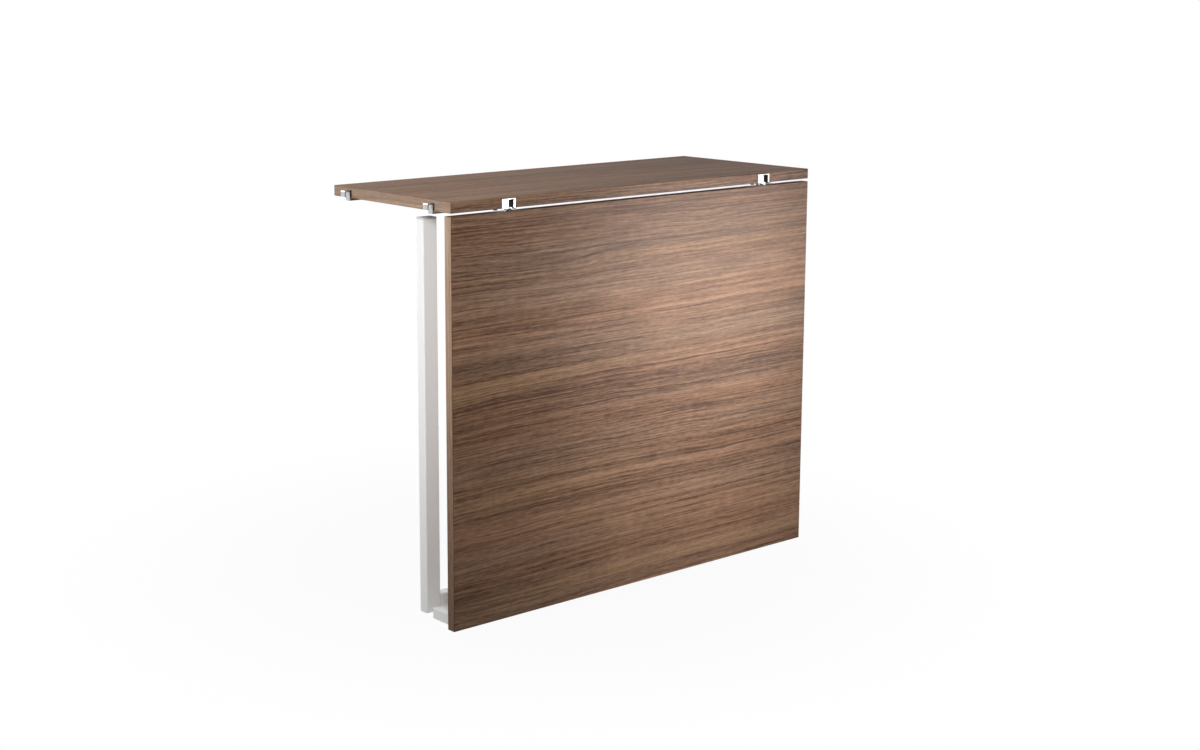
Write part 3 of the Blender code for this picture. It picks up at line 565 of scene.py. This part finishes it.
def place(piece, body, slot, *nodes):
    """Let a piece ride on a body and stand for CAD nodes, which are hidden. The slot is not used."""
    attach(piece, body)
    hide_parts(*nodes)


# Boards

MATT = {"specular": 0.2, "Gloss": 0.62}
SATIN = {"specular": 0.15, "Gloss": 0.46}
STRIP = {"specular": 0.25, "Figure": 0.45}


def on_outer_edge(edge, low, high):
    """True where an edge runs along an edge of the board's box."""
    shared = 0
    for axis in range(3):
        for side in (low[axis], high[axis]):
            if all(abs(vert.co[axis] - side) < ON_FACE for vert in edge.verts):
                shared += 1
    return shared == 2


def lay_veneer(piece, low, high, thin, seed):
    """Sort a board's faces into veneer, end strips, long edges and core, and lay the grain along each."""
    mesh = piece.data
    reach = settings().boards.arris + MERGE
    long_side = Y if thin == Z else Z
    grain = mesh.attributes.new("grain", "FLOAT_VECTOR", "CORNER")
    arris = mesh.attributes.new("arris", "FLOAT", "FACE")
    for face in mesh.polygons:
        facing = max(range(3), key=lambda axis: abs(face.normal[axis]))
        outward = face.normal[facing] > 0
        skin = high[facing] if outward else low[facing]
        outside = abs(face.center[facing] - skin) < reach
        if not outside:
            face.material_index = CORE
        elif facing == thin:
            face.material_index = FACE
        else:
            face.material_index = END if facing == X else EDGE
        arris.data[face.index].value = float(outside and abs(face.normal[facing]) < SQUARE_ON)
        along = long_side if facing == X else X
        across = 3 - along - facing
        board = seed + 2 * facing + outward
        for corner in face.loop_indices:
            point = mesh.vertices[mesh.loops[corner].vertex_index].co
            grain.data[corner].vector = (point[along], point[across], board)


def veneer(name, **look):
    """Veneer of the boards' faces and long edges, darker where it meets the end strips."""
    values = settings().boards
    half_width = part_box("flap_board")[1].x
    return walnut(name, values.light, values.dark, Half_Width=half_width, **look)


def make_board(name, node, body, thin, seed, face_veneer, edge_veneer, strip_look):
    """A veneered board: rounded edges, grain along the width and paler strips on the ends."""
    values = settings().boards
    low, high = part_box(node)
    bm = copy_of(node)
    ease(bm, values.arris, values.arris_steps, lambda edge: on_outer_edge(edge, low, high))
    strip = walnut(f"{name}_end", values.edge_light, values.edge_dark, **STRIP, **strip_look)
    board = piece_from(name, bm, face_veneer, strip, edge_veneer, chipboard())
    lay_veneer(board, low, high, thin, seed)
    place(board, body, "walnut_veneer", node)


class BoardsOperator(bpy.types.Operator):
    """Make the veneered shelf and flap"""

    bl_idname = "folding_table.boards"
    bl_label = "Boards"

    def execute(self, context):
        matt = veneer("matt_walnut", **MATT)
        satin = veneer("satin_walnut", **SATIN)
        # The flap's end strips are painted lighter at the top and darker towards the bottom, painted shade of
        # light falling off downward.
        painted_falloff = {"Tone": 0.95, "Fade": 1.3}
        make_board("walnut_shelf", "shelf_board", "shelf", Z, 40, matt, satin, {"Tone": 0.57})
        make_board("walnut_flap", "flap_board", "flap", Y, 11, satin, satin, painted_falloff)
        return {"FINISHED"}


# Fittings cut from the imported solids


def make_fitting(name, node, body, slot, width, wanted, steps=2):
    """A fitting with its outer edges rounded."""
    bm = copy_of(node)
    ease(bm, width, steps, wanted)
    piece = piece_from(name, bm, finish_of(slot))
    place(piece, body, slot, node)
    return piece


def line_slot(piece, side):
    """Give the inner faces of a hinge body's slot black plastic: painted shade inside the narrow slot."""
    inset = 0.5 * MM
    low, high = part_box(f"hinge_body_{side}")
    eye_low, eye_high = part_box(f"hinge_eye_{side}")
    piece.data.materials.append(finish_of("black_plastic"))
    for face in piece.data.polygons:
        middle = face.center
        beside_eye = eye_low.x - inset < middle.x < eye_high.x + inset
        inside = all(low[axis] + inset < middle[axis] < high[axis] - inset for axis in (Y, Z))
        if beside_eye and inside:
            face.material_index = 1


class FlapHingesOperator(bpy.types.Operator):
    """Make the flap hinges: bodies in the shelf, eyes and plates on the flap"""

    bl_idname = "folding_table.flap_hinges"
    bl_label = "Flap hinges"

    def execute(self, context):
        edges = settings().fittings.ease, longer_than(2.5 * MM)
        for side in SIDES:
            body = f"hinge_body_{side}"
            made = make_fitting(f"chrome_{body}", body, "shelf", "bright_chrome", *edges)
            # Black on the slot's inner faces: painted shade.
            line_slot(made, side)
            plate = f"hinge_plate_{side}"
            make_fitting(f"chrome_{plate}", plate, "flap", "bright_chrome", *edges)
            eye = f"hinge_eye_{side}"
            make_fitting(f"black_{eye}", eye, "flap", "black_plastic", *edges)
        return {"FINISHED"}


class HooksOperator(bpy.types.Operator):
    """Make the hooks on the shelf's ends"""

    bl_idname = "folding_table.hooks"
    bl_label = "Hooks"

    def execute(self, context):
        edges = settings().fittings.ease, rim_of(Y)
        for side in SIDES:
            for end in ("front", "rear"):
                hook = f"hook_{end}_{side}"
                make_fitting(f"zinc_{hook}", hook, "shelf", "bright_zinc", *edges)
        return {"FINISHED"}


class RailOperator(bpy.types.Operator):
    """Make the white rail behind the flap"""

    bl_idname = "folding_table.rail"
    bl_label = "Leg rail"

    def execute(self, context):
        low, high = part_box("leg_rail")
        rim_reach = 3 * MM

        def outer_rim(edge):
            middle = (edge.verts[0].co + edge.verts[1].co) / 2
            inside = min(min(middle[axis] - low[axis], high[axis] - middle[axis]) for axis in (X, Y))
            return rim_of(Z)(edge) and inside < rim_reach

        edges = settings().legs.rail_ease, outer_rim, 3
        make_fitting("white_leg_rail", "leg_rail", "flap", "white_lacquered_wood", *edges)
        return {"FINISHED"}


class FootCapsOperator(bpy.types.Operator):
    """Make the foot caps and the plugs in the posts' hinged ends"""

    bl_idname = "folding_table.foot_caps"
    bl_label = "Foot caps"

    def execute(self, context):
        width = settings().legs.cap_ease
        every_edge = longer_than(0.0)
        for side in SIDES:
            cap = f"foot_cap_{side}"
            sole = level_with(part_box(cap)[1].z)
            make_fitting(f"grey_{cap}", cap, "leg", "grey_plastic", width, sole, 4)
            plug = f"post_plug_{side}"
            make_fitting(f"white_{plug}", plug, "leg", "white_plastic", width, every_edge)
        return {"FINISHED"}


class LegHingesOperator(bpy.types.Operator):
    """Make the leaves of the leg hinges"""

    bl_idname = "folding_table.leg_hinges"
    bl_label = "Leg hinges"

    def execute(self, context):
        edges = settings().fittings.ease, longer_than(4 * MM)
        for side in SIDES:
            for part, body in (("rail_leaf", "flap"), ("bar_leaf", "leg")):
                leaf = f"{part}_{side}"
                make_fitting(f"zinc_{leaf}", leaf, body, "bright_zinc", *edges)
        return {"FINISHED"}


# Leg frame from tube


def run_nodes(name, mesh, tree, values):
    """Run a geometry node tree on a mesh and keep the result as a plain piece."""
    piece = new_piece(name, mesh)
    modifier = piece.modifiers.new("nodes", "NODES")
    modifier.node_group = tree
    for item in tree.interface.items_tree:
        if item.in_out == "INPUT" and item.name in values:
            modifier[item.identifier] = values[item.name]
    bake(piece)
    settle(piece)
    return piece


def points_mesh(name, places):
    """A mesh of loose points, each with the direction that its shape takes."""
    mesh = bpy.data.meshes.new(name)
    mesh.from_pydata([point for point, _ in places], [], [])
    heading = mesh.attributes.new("heading", "FLOAT_VECTOR", "POINT")
    for index, (_, direction) in enumerate(places):
        heading.data[index].vector = direction
    return mesh


def joined(tree, *parts):
    """Output of a Join Geometry node."""
    node = tree.nodes.new("GeometryNodeJoinGeometry")
    for part in parts:
        tree.links.new(part, node.inputs[0])
    return node.outputs[0]


def real_mesh(tree, geometry, material):
    """Real mesh with a material, which ends a tree."""
    real = output(tree, "GeometryNodeRealizeInstances", {"Geometry": geometry})
    return output(tree, "GeometryNodeSetMaterial", {"Geometry": real, "Material": material})


def set_out(tree, points, shape, turn=0.0):
    """Put a shape on each point along its heading, turned about itself."""
    wanted = {"Name": "heading"}
    heading = output(tree, "GeometryNodeInputNamedAttribute", wanted, data_type="FLOAT_VECTOR")
    aim = output(tree, "FunctionNodeAlignRotationToVector", {"Vector": heading}, axis="Z")
    spin = output(tree, "FunctionNodeAxisAngleToRotation", {"Axis": (0, 0, 1), "Angle": turn})
    turns = {"Rotation": aim, "Rotate By": spin}
    facing = output(tree, "FunctionNodeRotateRotation", turns, rotation_space="LOCAL")
    inputs = {"Points": points, "Instance": shape, "Rotation": facing}
    return output(tree, "GeometryNodeInstanceOnPoints", inputs)


@node_group(
    "Geometry",
    (
        ("Points", "Geometry"),
        *[(size, "Float") for size in ("Width", "Depth", "Wall", "Corner", "Length")],
        ("Corner Steps", "Int"),
        ("Material", "Material"),
    ),
    (("Mesh", "Geometry"),),
)
def leg_tube(tree, given):
    """Rectangular tube with round corners and an open bore, one at each point."""
    loops = []
    # Outer loop, then the bore: walls that it is smaller by and share of the corner's radius.
    for walls, corner_share in ((0, 1.0), (2, 0.4)):
        less = maths(tree, "MULTIPLY", given["Wall"], walls)
        width, depth = [maths(tree, "SUBTRACT", given[size], less) for size in ("Width", "Depth")]
        loop = output(tree, "GeometryNodeCurvePrimitiveQuadrilateral", {"Width": width, "Height": depth})
        radius = maths(tree, "MULTIPLY", given["Corner"], corner_share)
        inputs = {"Curve": loop, "Count": given["Corner Steps"], "Radius": radius}
        loops.append(output(tree, "GeometryNodeFilletCurve", inputs, mode="POLY"))
    section = output(tree, "GeometryNodeFillCurve", {"Curve": joined(tree, *loops)}, mode="NGONS")
    reach = output(tree, "ShaderNodeCombineXYZ", {2: given["Length"]})
    inputs = {"Mesh": section, "Offset": reach, "Offset Scale": 1.0, "Individual": False}
    swept = output(tree, "GeometryNodeExtrudeMesh", inputs, mode="FACES")
    near_end = output(tree, "GeometryNodeFlipFaces", {"Mesh": section})
    whole = joined(tree, swept, near_end)
    closed = output(tree, "GeometryNodeMergeByDistance", {"Geometry": whole, "Distance": MERGE})
    return (real_mesh(tree, set_out(tree, given["Points"], closed), given["Material"]),)


@node_group(
    "Geometry",
    (("Path", "Geometry"), ("Radius", "Float"), ("Spacing", "Float"), ("Material", "Material")),
    (("Mesh", "Geometry"),),
)
def weld_bead(tree, given):
    """Ground weld bead that follows a closed path, slightly uneven."""
    path = output(tree, "GeometryNodeMeshToCurve", {"Mesh": given["Path"]})
    spacing = {"Curve": path, "Length": given["Spacing"]}
    fine = output(tree, "GeometryNodeResampleCurve", spacing, mode="LENGTH")
    spot = output(tree, "GeometryNodeInputPosition")
    uneven = noise(tree, spot, (420, 420, 420), 1.0, 1.0)
    scale = maths(tree, "MULTIPLY_ADD", uneven, 0.5, 0.75)
    ring = output(tree, "GeometryNodeCurvePrimitiveCircle", {"Resolution": 10, "Radius": given["Radius"]})
    sweep = {"Curve": fine, "Profile Curve": ring, "Scale": scale}
    return (real_mesh(tree, output(tree, "GeometryNodeCurveToMesh", sweep), given["Material"]),)


def middle_of(node):
    """Middle of a CAD node's box."""
    low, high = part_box(node)
    return (low + high) / 2


def length_along(node, direction):
    """Length of a CAD node along one of the axes."""
    low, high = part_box(node)
    return abs((high - low).dot(Vector(direction)))


def weld_path(low, high, seams, sink):
    """Closed loops round the crossbar's ends, just under its faces."""
    mesh = bpy.data.meshes.new("weld_path")
    corners = []
    edges = []
    for seam in seams:
        first = len(corners)
        for y, z in ((low.y, low.z), (high.y, low.z), (high.y, high.z), (low.y, high.z)):
            inner_y = y + (sink if y == low.y else -sink)
            inner_z = z + (sink if z == low.z else -sink)
            corners.append((seam, inner_y, inner_z))
        edges += [(first + corner, first + (corner + 1) % 4) for corner in range(4)]
    mesh.from_pydata(corners, edges, [])
    return mesh


def cut_windows(bar):
    """Cut the windows that the leg hinges turn in into the crossbar's front face."""
    gap, depth, height, pin_radius = 0.5 * MM, 7 * MM, 9 * MM, 2 * MM
    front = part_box("leg_crossbar")[0].y
    cutters = bmesh.new()
    for side in SIDES:
        leaf = f"rail_leaf_{side}"
        size = Vector((length_along(leaf, (1, 0, 0)) + 2 * gap, depth, height))
        pin_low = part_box(f"leg_hinge_pin_{side}")[0].z
        middle = Vector((middle_of(leaf).x, front, pin_low + pin_radius))
        for vert in bmesh.ops.create_cube(cutters, size=1.0)["verts"]:
            vert.co = vert.co * size + middle
    mesh = bpy.data.meshes.new("windows")
    cutters.to_mesh(mesh)
    cutters.free()
    tool = new_piece("windows", mesh)
    cut = bar.modifiers.new("windows", "BOOLEAN")
    cut.operation = "DIFFERENCE"
    cut.solver = "EXACT"
    cut.object = tool
    bake(bar)
    bpy.data.objects.remove(tool)


class LegFrameOperator(bpy.types.Operator):
    """Make the leg frame: posts and crossbar from tube, with ground welds"""

    bl_idname = "folding_table.leg_frame"
    bl_label = "Leg frame"

    def execute(self, context):
        values = settings().legs
        tube = {
            "Wall": values.wall,
            "Corner": values.corner,
            "Corner Steps": values.corner_steps,
            "Material": finish_of("white_lacquer"),
        }
        posts = [f"leg_post_{side}" for side in SIDES]
        low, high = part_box(posts[0])
        size = high - low
        ends = [(Vector((*middle_of(post).xy, low.z)), (0, 0, 1)) for post in posts]
        sizes = {"Width": size.x, "Depth": size.y, "Length": size.z}
        made = run_nodes("white_leg_posts", points_mesh("posts", ends), leg_tube(), {**tube, **sizes})
        place(made, "leg", "white_lacquer", *posts)

        low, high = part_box("leg_crossbar")
        size = high - low
        end = [(Vector((low.x, *middle_of("leg_crossbar").yz)), (1, 0, 0))]
        sizes = {"Width": size.z, "Depth": size.y, "Length": size.x}
        bar = run_nodes("white_crossbar", points_mesh("bar", end), leg_tube(), {**tube, **sizes})
        cut_windows(bar)
        settle(bar)
        place(bar, "leg", "white_lacquer", "leg_crossbar")

        path = weld_path(low, high, (low.x, high.x), values.bead_sink)
        bead = {"Radius": values.bead, "Spacing": 0.6 * MM, "Material": finish_of("white_lacquer")}
        welds = run_nodes("white_welds", path, weld_bead(), bead)
        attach(welds, "leg")
        return {"FINISHED"}


# Fixings


HEAD_SIZES = ("Face Radius", "Rim Radius", "Rim Height", "Neck Radius", "Neck Height")
SHANK_SIZES = ("Shank Radius", "Tip Height", "Tip Radius", "Length")
RECESS_SIZES = ("Recess Width", "Recess Reach", "Recess Depth")


@node_group(
    "Geometry",
    (
        ("Points", "Geometry"),
        *[(size, "Float") for size in HEAD_SIZES + SHANK_SIZES + RECESS_SIZES],
        ("Sides", "Int", 24),
        ("Cross Recess", "Bool", True),
        ("Seed", "Int", 1),
        ("Material", "Material"),
    ),
    (("Mesh", "Geometry"),),
)
def turned_fixing(tree, given):
    """Turned fixing at each point: domed or countersunk head, shank, tip and, if wanted, a cross recess."""
    dome_steps = 4
    index = output(tree, "GeometryNodeInputIndex")
    angle = maths(tree, "MULTIPLY", index, pi / 2 / dome_steps)
    widen = maths(tree, "SUBTRACT", given["Rim Radius"], given["Face Radius"])
    dome_radius = maths(tree, "MULTIPLY_ADD", maths(tree, "SINE", angle), widen, given["Face Radius"])
    drop = maths(tree, "SUBTRACT", 1.0, maths(tree, "COSINE", angle))
    dome_height = maths(tree, "MULTIPLY", drop, given["Rim Height"])
    below_neck = maths(tree, "ADD", given["Neck Height"], 0.05 * MM)
    profile = {
        "radius": [dome_radius] * (dome_steps + 1)
        + [given["Neck Radius"], given["Shank Radius"], given["Shank Radius"], given["Tip Radius"]],
        "height": [dome_height] * (dome_steps + 1)
        + [given["Neck Height"], below_neck, given["Tip Height"], given["Length"]],
    }
    chosen = {}
    for label, values in profile.items():
        pick = add_node(tree, "GeometryNodeIndexSwitch", {"Index": index}, data_type="FLOAT")
        while len(pick.index_switch_items) < len(values):
            pick.index_switch_items.new()
        for number, value in enumerate(values):
            tree.links.new(value, pick.inputs[number + 1])
        chosen[label] = pick.outputs[0]
    count = len(profile["radius"])
    line = output(tree, "GeometryNodeMeshLine", {"Count": count, "Offset": (0, 0, MM)})
    lifted = output(tree, "ShaderNodeCombineXYZ", {2: chosen["height"]})
    moved = output(tree, "GeometryNodeSetPosition", {"Geometry": line, "Position": lifted})
    axis = output(tree, "GeometryNodeMeshToCurve", {"Mesh": moved})
    ring = output(tree, "GeometryNodeCurvePrimitiveCircle", {"Resolution": given["Sides"], "Radius": 1.0})
    sweep = {"Curve": axis, "Profile Curve": ring, "Scale": chosen["radius"], "Fill Caps": True}
    solid = output(tree, "GeometryNodeCurveToMesh", sweep)
    cross = add_node(tree, "GeometryNodeMeshBoolean", operation="UNION", solver="EXACT")
    deep = maths(tree, "MULTIPLY", given["Recess Depth"], 2.0)
    for first, second in (("Recess Width", "Recess Reach"), ("Recess Reach", "Recess Width")):
        size = output(tree, "ShaderNodeCombineXYZ", {0: given[first], 1: given[second], 2: deep})
        wing = output(tree, "GeometryNodeMeshCube", {"Size": size})
        tree.links.new(wing, cross.inputs["Mesh 2"])
    sides = {"Mesh 1": solid, "Mesh 2": cross.outputs[0]}
    recessed = output(tree, "GeometryNodeMeshBoolean", sides, operation="DIFFERENCE", solver="EXACT")
    either = {"Switch": given["Cross Recess"], "False": solid, "True": recessed}
    shape = output(tree, "GeometryNodeSwitch", either, input_type="GEOMETRY")
    turn = add_node(tree, "FunctionNodeRandomValue", {"Seed": given["Seed"]}, data_type="FLOAT")
    turn.inputs[3].default_value = 2 * pi
    fixings = set_out(tree, given["Points"], shape, turn.outputs[1])
    return (real_mesh(tree, fixings, given["Material"]),)


def numbered(name, count):
    """Names of like CAD nodes."""
    return [f"{name}_{number}" for number in range(1, count + 1)]


def head_places(nodes, direction):
    """Outer face of each fixing's head, from its CAD node's box, and the way that it is driven."""
    places = []
    for node in nodes:
        low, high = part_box(node)
        point = (low + high) / 2
        for axis in range(3):
            if direction[axis]:
                point[axis] = low[axis] if direction[axis] > 0 else high[axis]
        places.append((point, direction))
    return places


def make_fixings(name, nodes, direction, body, slot, sizes, seed=1):
    """A set of like fixings on one body."""
    places = head_places(nodes, direction)
    values = {**sizes, "Material": finish_of(slot), "Seed": seed}
    made = run_nodes(name, points_mesh(name, places), turned_fixing(), values)
    place(made, body, slot, *nodes)


def screw(total, pan):
    """Sizes of a pan-head or countersunk screw of a given whole length."""
    values = settings().fittings
    shank = values.shank
    head = values.head
    sizes = {
        "Rim Radius": head,
        "Shank Radius": shank,
        "Tip Height": total - 3 * MM,
        "Tip Radius": 0.25 * MM,
        "Length": total,
        "Recess Width": values.recess,
        "Recess Reach": head * 1.25,
        "Recess Depth": 1.3 * MM,
        "Cross Recess": True,
    }
    if pan:
        return {
            **sizes,
            "Face Radius": head * 0.62,
            "Rim Height": 1.5 * MM,
            "Neck Radius": head,
            "Neck Height": 2.7 * MM,
        }
    return {
        **sizes,
        "Face Radius": head - 0.15 * MM,
        "Rim Height": 0.2 * MM,
        "Neck Radius": shank + 0.02 * MM,
        "Neck Height": 2.2 * MM,
    }


def plain_pin(radius, total):
    """Sizes of a pin with rounded ends."""
    return {
        "Face Radius": radius * 0.7,
        "Rim Radius": radius,
        "Rim Height": 0.35 * MM,
        "Neck Radius": radius,
        "Neck Height": 0.5 * MM,
        "Shank Radius": radius,
        "Tip Height": total - 0.4 * MM,
        "Tip Radius": radius * 0.75,
        "Length": total,
        "Cross Recess": False,
        "Sides": 32,
    }


class FixingsOperator(bpy.types.Operator):
    """Make the screws, rivets and hinge pins"""

    bl_idname = "folding_table.fixings"
    bl_label = "Screws, rivets and pins"

    def execute(self, context):
        up, down, forward, back, right = (0, 0, 1), (0, 0, -1), (0, -1, 0), (0, 1, 0), (1, 0, 0)
        values = settings().fittings
        sets = (
            ("hinge_body_screw", 4, up, "shelf", "dark_steel", True),
            ("hinge_plate_screw", 4, down, "flap", "dark_steel", False),
            ("hook_screw", 4, up, "shelf", "bright_zinc", False),
            ("rail_leaf_screw", 4, down, "flap", "bright_zinc", False),
            ("rail_screw", 5, forward, "flap", "bright_zinc", True),
        )
        for seed, (name, count, way, body, slot, pan) in enumerate(sets, 1):
            nodes = numbered(name, count)
            sizes = screw(length_along(nodes[0], way), pan)
            make_fixings(f"{name}s", nodes, way, body, slot, sizes, seed)

        rivets = numbered("bar_leaf_rivet", 4)
        total = length_along(rivets[0], back)
        rivet = {
            **plain_pin(values.rivet_shank, total),
            "Face Radius": values.rivet_head * 0.25,
            "Rim Radius": values.rivet_head,
            "Rim Height": 1.1 * MM,
            "Neck Radius": values.rivet_head,
            "Neck Height": 1.2 * MM,
        }
        make_fixings("bar_leaf_rivets", rivets, back, "leg", "bright_zinc", rivet)

        for name, body in (("hinge_pin", "shelf"), ("leg_hinge_pin", "flap")):
            pins = [f"{name}_{side}" for side in SIDES]
            sizes = plain_pin(length_along(pins[0], up) / 2, length_along(pins[0], right))
            make_fixings(f"{name}s", pins, right, body, "bright_zinc", sizes)
        return {"FINISHED"}


# Studio

PHOTO_WIDTH = 1200
FOCAL_PIXELS = 1869.73
SENSOR_WIDTH = 36
LENS_SHIFT = 0.05
CAMERA_PLACE = (-2.0491, -2.5108, 0.336)
CAMERA_DIP = 0.1785
CAMERA_TURN = -0.694
FLOOR_REACH = 30
# Each lamp: size, place, the point that it is aimed at, and its spread in degrees.
LAMPS = {
    "key": (0.3, (2.8, -3.65, -0.45), (0.15, -0.31, -0.11), 9),
    "low": (0.5, (1.6, -4.5, 0.32), (0.17, -0.31, -0.39), 7.5),
    "front": (0.6, (-1.3, -1.5, 0.6), (-0.39, -0.27, -0.1), 60),
    "side": (0.5, (-1.3, -0.6, 0.3), (-0.39, -0.27, -0.14), 50),
    "back": (0.8, (-0.9, 0.9, 0.6), (-0.2, -0.15, -0.1), 180),
    "rear": (1.2, (0.2, 2.4, -0.3), (0, -0.25, -0.3), 180),
    "right": (0.8, (2.4, -0.1, -0.3), (0.39, -0.25, -0.3), 180),
}


def add_lamp(name):
    """A square softbox aimed at a point; a grid on it narrows its spread."""
    size, location, target, spread = LAMPS[name]
    lamp = bpy.data.lights.new(name, "AREA")
    lamp.energy = getattr(settings().studio, name)
    lamp.size = size
    lamp.spread = radians(spread)
    holder = bpy.data.objects.new(name, lamp)
    bpy.context.scene.collection.objects.link(holder)
    holder.visible_camera = False
    holder.location = location
    aim = Vector(target) - Vector(location)
    holder.rotation_euler = aim.to_track_quat("-Z", "Y").to_euler()
    return holder


def flag_off(lamp, pieces):
    """Keep a lamp's light off some pieces, as a flag beside it would."""
    shaded = bpy.data.collections.new(f"{lamp.name}_flag")
    for piece in pieces:
        shaded.objects.link(piece)
    for entry in shaded.collection_objects:
        entry.light_linking.link_state = "EXCLUDE"
    lamp.light_linking.receiver_collection = shaded


def seen_directly(tree):
    """Rays that show the background: camera, glossy and transmission rays."""
    ray = add_node(tree, "ShaderNodeLightPath").outputs
    either = maths(tree, "MAXIMUM", ray["Is Camera Ray"], ray["Is Glossy Ray"])
    return maths(tree, "MAXIMUM", either, ray["Is Transmission Ray"])


def make_world():
    """White to the eye and in reflections, a soft fill for the rest."""
    world = bpy.data.worlds.new("studio")
    world.use_nodes = True
    bpy.context.scene.world = world
    tree = world.node_tree
    fill = settings().studio.fill
    strength = maths(tree, "MULTIPLY_ADD", seen_directly(tree), 1.0 - fill, fill)
    tree.links.new(strength, tree.nodes["Background"].inputs["Strength"])
    tree.nodes["Background"].inputs["Color"].default_value = (1, 1, 1, 1)


def floor_material():
    """Pale floor that keeps a soft shadow near the table and runs out to white."""
    material = bpy.data.materials.new("pale_floor")
    material.use_nodes = True
    tree = material.node_tree
    tree.nodes.clear()
    spot = add_node(tree, "ShaderNodeTexCoord").outputs["Object"]
    grainy = noise(tree, spot, (60, 60, 60), 0.0, 3.0)
    pale = mixed(tree, grainy, (0.46, 0.46, 0.455, 1), (0.5, 0.5, 0.495, 1))
    matt = output(tree, "ShaderNodeBsdfDiffuse", {"Color": pale})
    white = output(tree, "ShaderNodeEmission", {"Color": (1, 1, 1, 1), "Strength": 1.0})
    distance = add_node(tree, "ShaderNodeVectorMath", {0: spot}, operation="LENGTH").outputs["Value"]
    cover = step(tree, distance, 0.45, 1.2, 0.92, 1.0)
    share = maths(tree, "MULTIPLY", cover, seen_directly(tree))
    blend = output(tree, "ShaderNodeMixShader", {0: share, 1: matt, 2: white})
    add_node(tree, "ShaderNodeOutputMaterial", {"Surface": blend})
    return material


class StageOperator(bpy.types.Operator):
    """Make the floor, lamps and camera"""

    bl_idname = "folding_table.stage"
    bl_label = "Stage"

    def execute(self, context):
        scene = context.scene
        bm = bmesh.new()
        bmesh.ops.create_grid(bm, x_segments=1, y_segments=1, size=FLOOR_REACH)
        for vert in bm.verts:
            vert.co.z = settings().studio.floor
        mesh = bpy.data.meshes.new("floor")
        bm.to_mesh(mesh)
        bm.free()
        mesh.materials.append(floor_material())
        new_piece("floor", mesh)

        make_world()
        lamps = {name: add_lamp(name) for name in LAMPS}
        # In this lamp's beam the white frame would burn out when the leg swings forward.
        flag_off(lamps["low"], [piece for piece in scene.objects if piece.name.startswith("white_")])

        lens = bpy.data.cameras.new("camera")
        lens.sensor_width = SENSOR_WIDTH
        lens.lens = SENSOR_WIDTH * FOCAL_PIXELS / PHOTO_WIDTH
        lens.shift_x = LENS_SHIFT
        lens.shift_y = -LENS_SHIFT
        camera = bpy.data.objects.new("camera", lens)
        scene.collection.objects.link(camera)
        camera.location = CAMERA_PLACE
        camera.rotation_euler = (pi / 2 - CAMERA_DIP, 0, CAMERA_TURN)
        scene.camera = camera
        scene.view_settings.view_transform = "Standard"
        return {"FINISHED"}


class TablePanel(bpy.types.Panel):
    """Sidebar panel with the table's pieces and settings"""

    bl_idname = "VIEW3D_PT_folding_table"
    bl_label = "Folding Table"
    bl_space_type = "VIEW_3D"
    bl_region_type = "UI"
    bl_category = "Folding Table"

    def draw(self, context):
        column = self.layout.column()
        for operator in OPERATORS:
            column.operator(operator.bl_idname)
        for label in ("boards", "legs", "fittings", "studio"):
            group = getattr(context.scene.folding_table, label)
            column.label(text=label.capitalize())
            for name in group.__annotations__:
                column.prop(group, name)


OPERATORS = (
    BoardsOperator,
    FlapHingesOperator,
    HooksOperator,
    RailOperator,
    LegFrameOperator,
    FootCapsOperator,
    LegHingesOperator,
    FixingsOperator,
    StageOperator,
)
SETTINGS = (BoardSettings, FrameSettings, FittingSettings, StudioSettings, TableSettings)
CLASSES = (*SETTINGS, *OPERATORS, TablePanel)


def register():
    """Add the table's classes and settings to this session."""
    for item in CLASSES:
        bpy.utils.register_class(item)
    bpy.types.Scene.folding_table = PointerProperty(type=TableSettings)


def unregister():
    """Take them out again."""
    del bpy.types.Scene.folding_table
    for item in reversed(CLASSES):
        bpy.utils.unregister_class(item)


def main():
    """Build every piece and the stage."""
    register()
    bpy.ops.folding_table.boards()
    bpy.ops.folding_table.flap_hinges()
    bpy.ops.folding_table.hooks()
    bpy.ops.folding_table.rail()
    bpy.ops.folding_table.leg_frame()
    bpy.ops.folding_table.foot_caps()
    bpy.ops.folding_table.leg_hinges()
    bpy.ops.folding_table.fixings()
    bpy.ops.folding_table.stage()


if __name__ == "__main__":
    main()
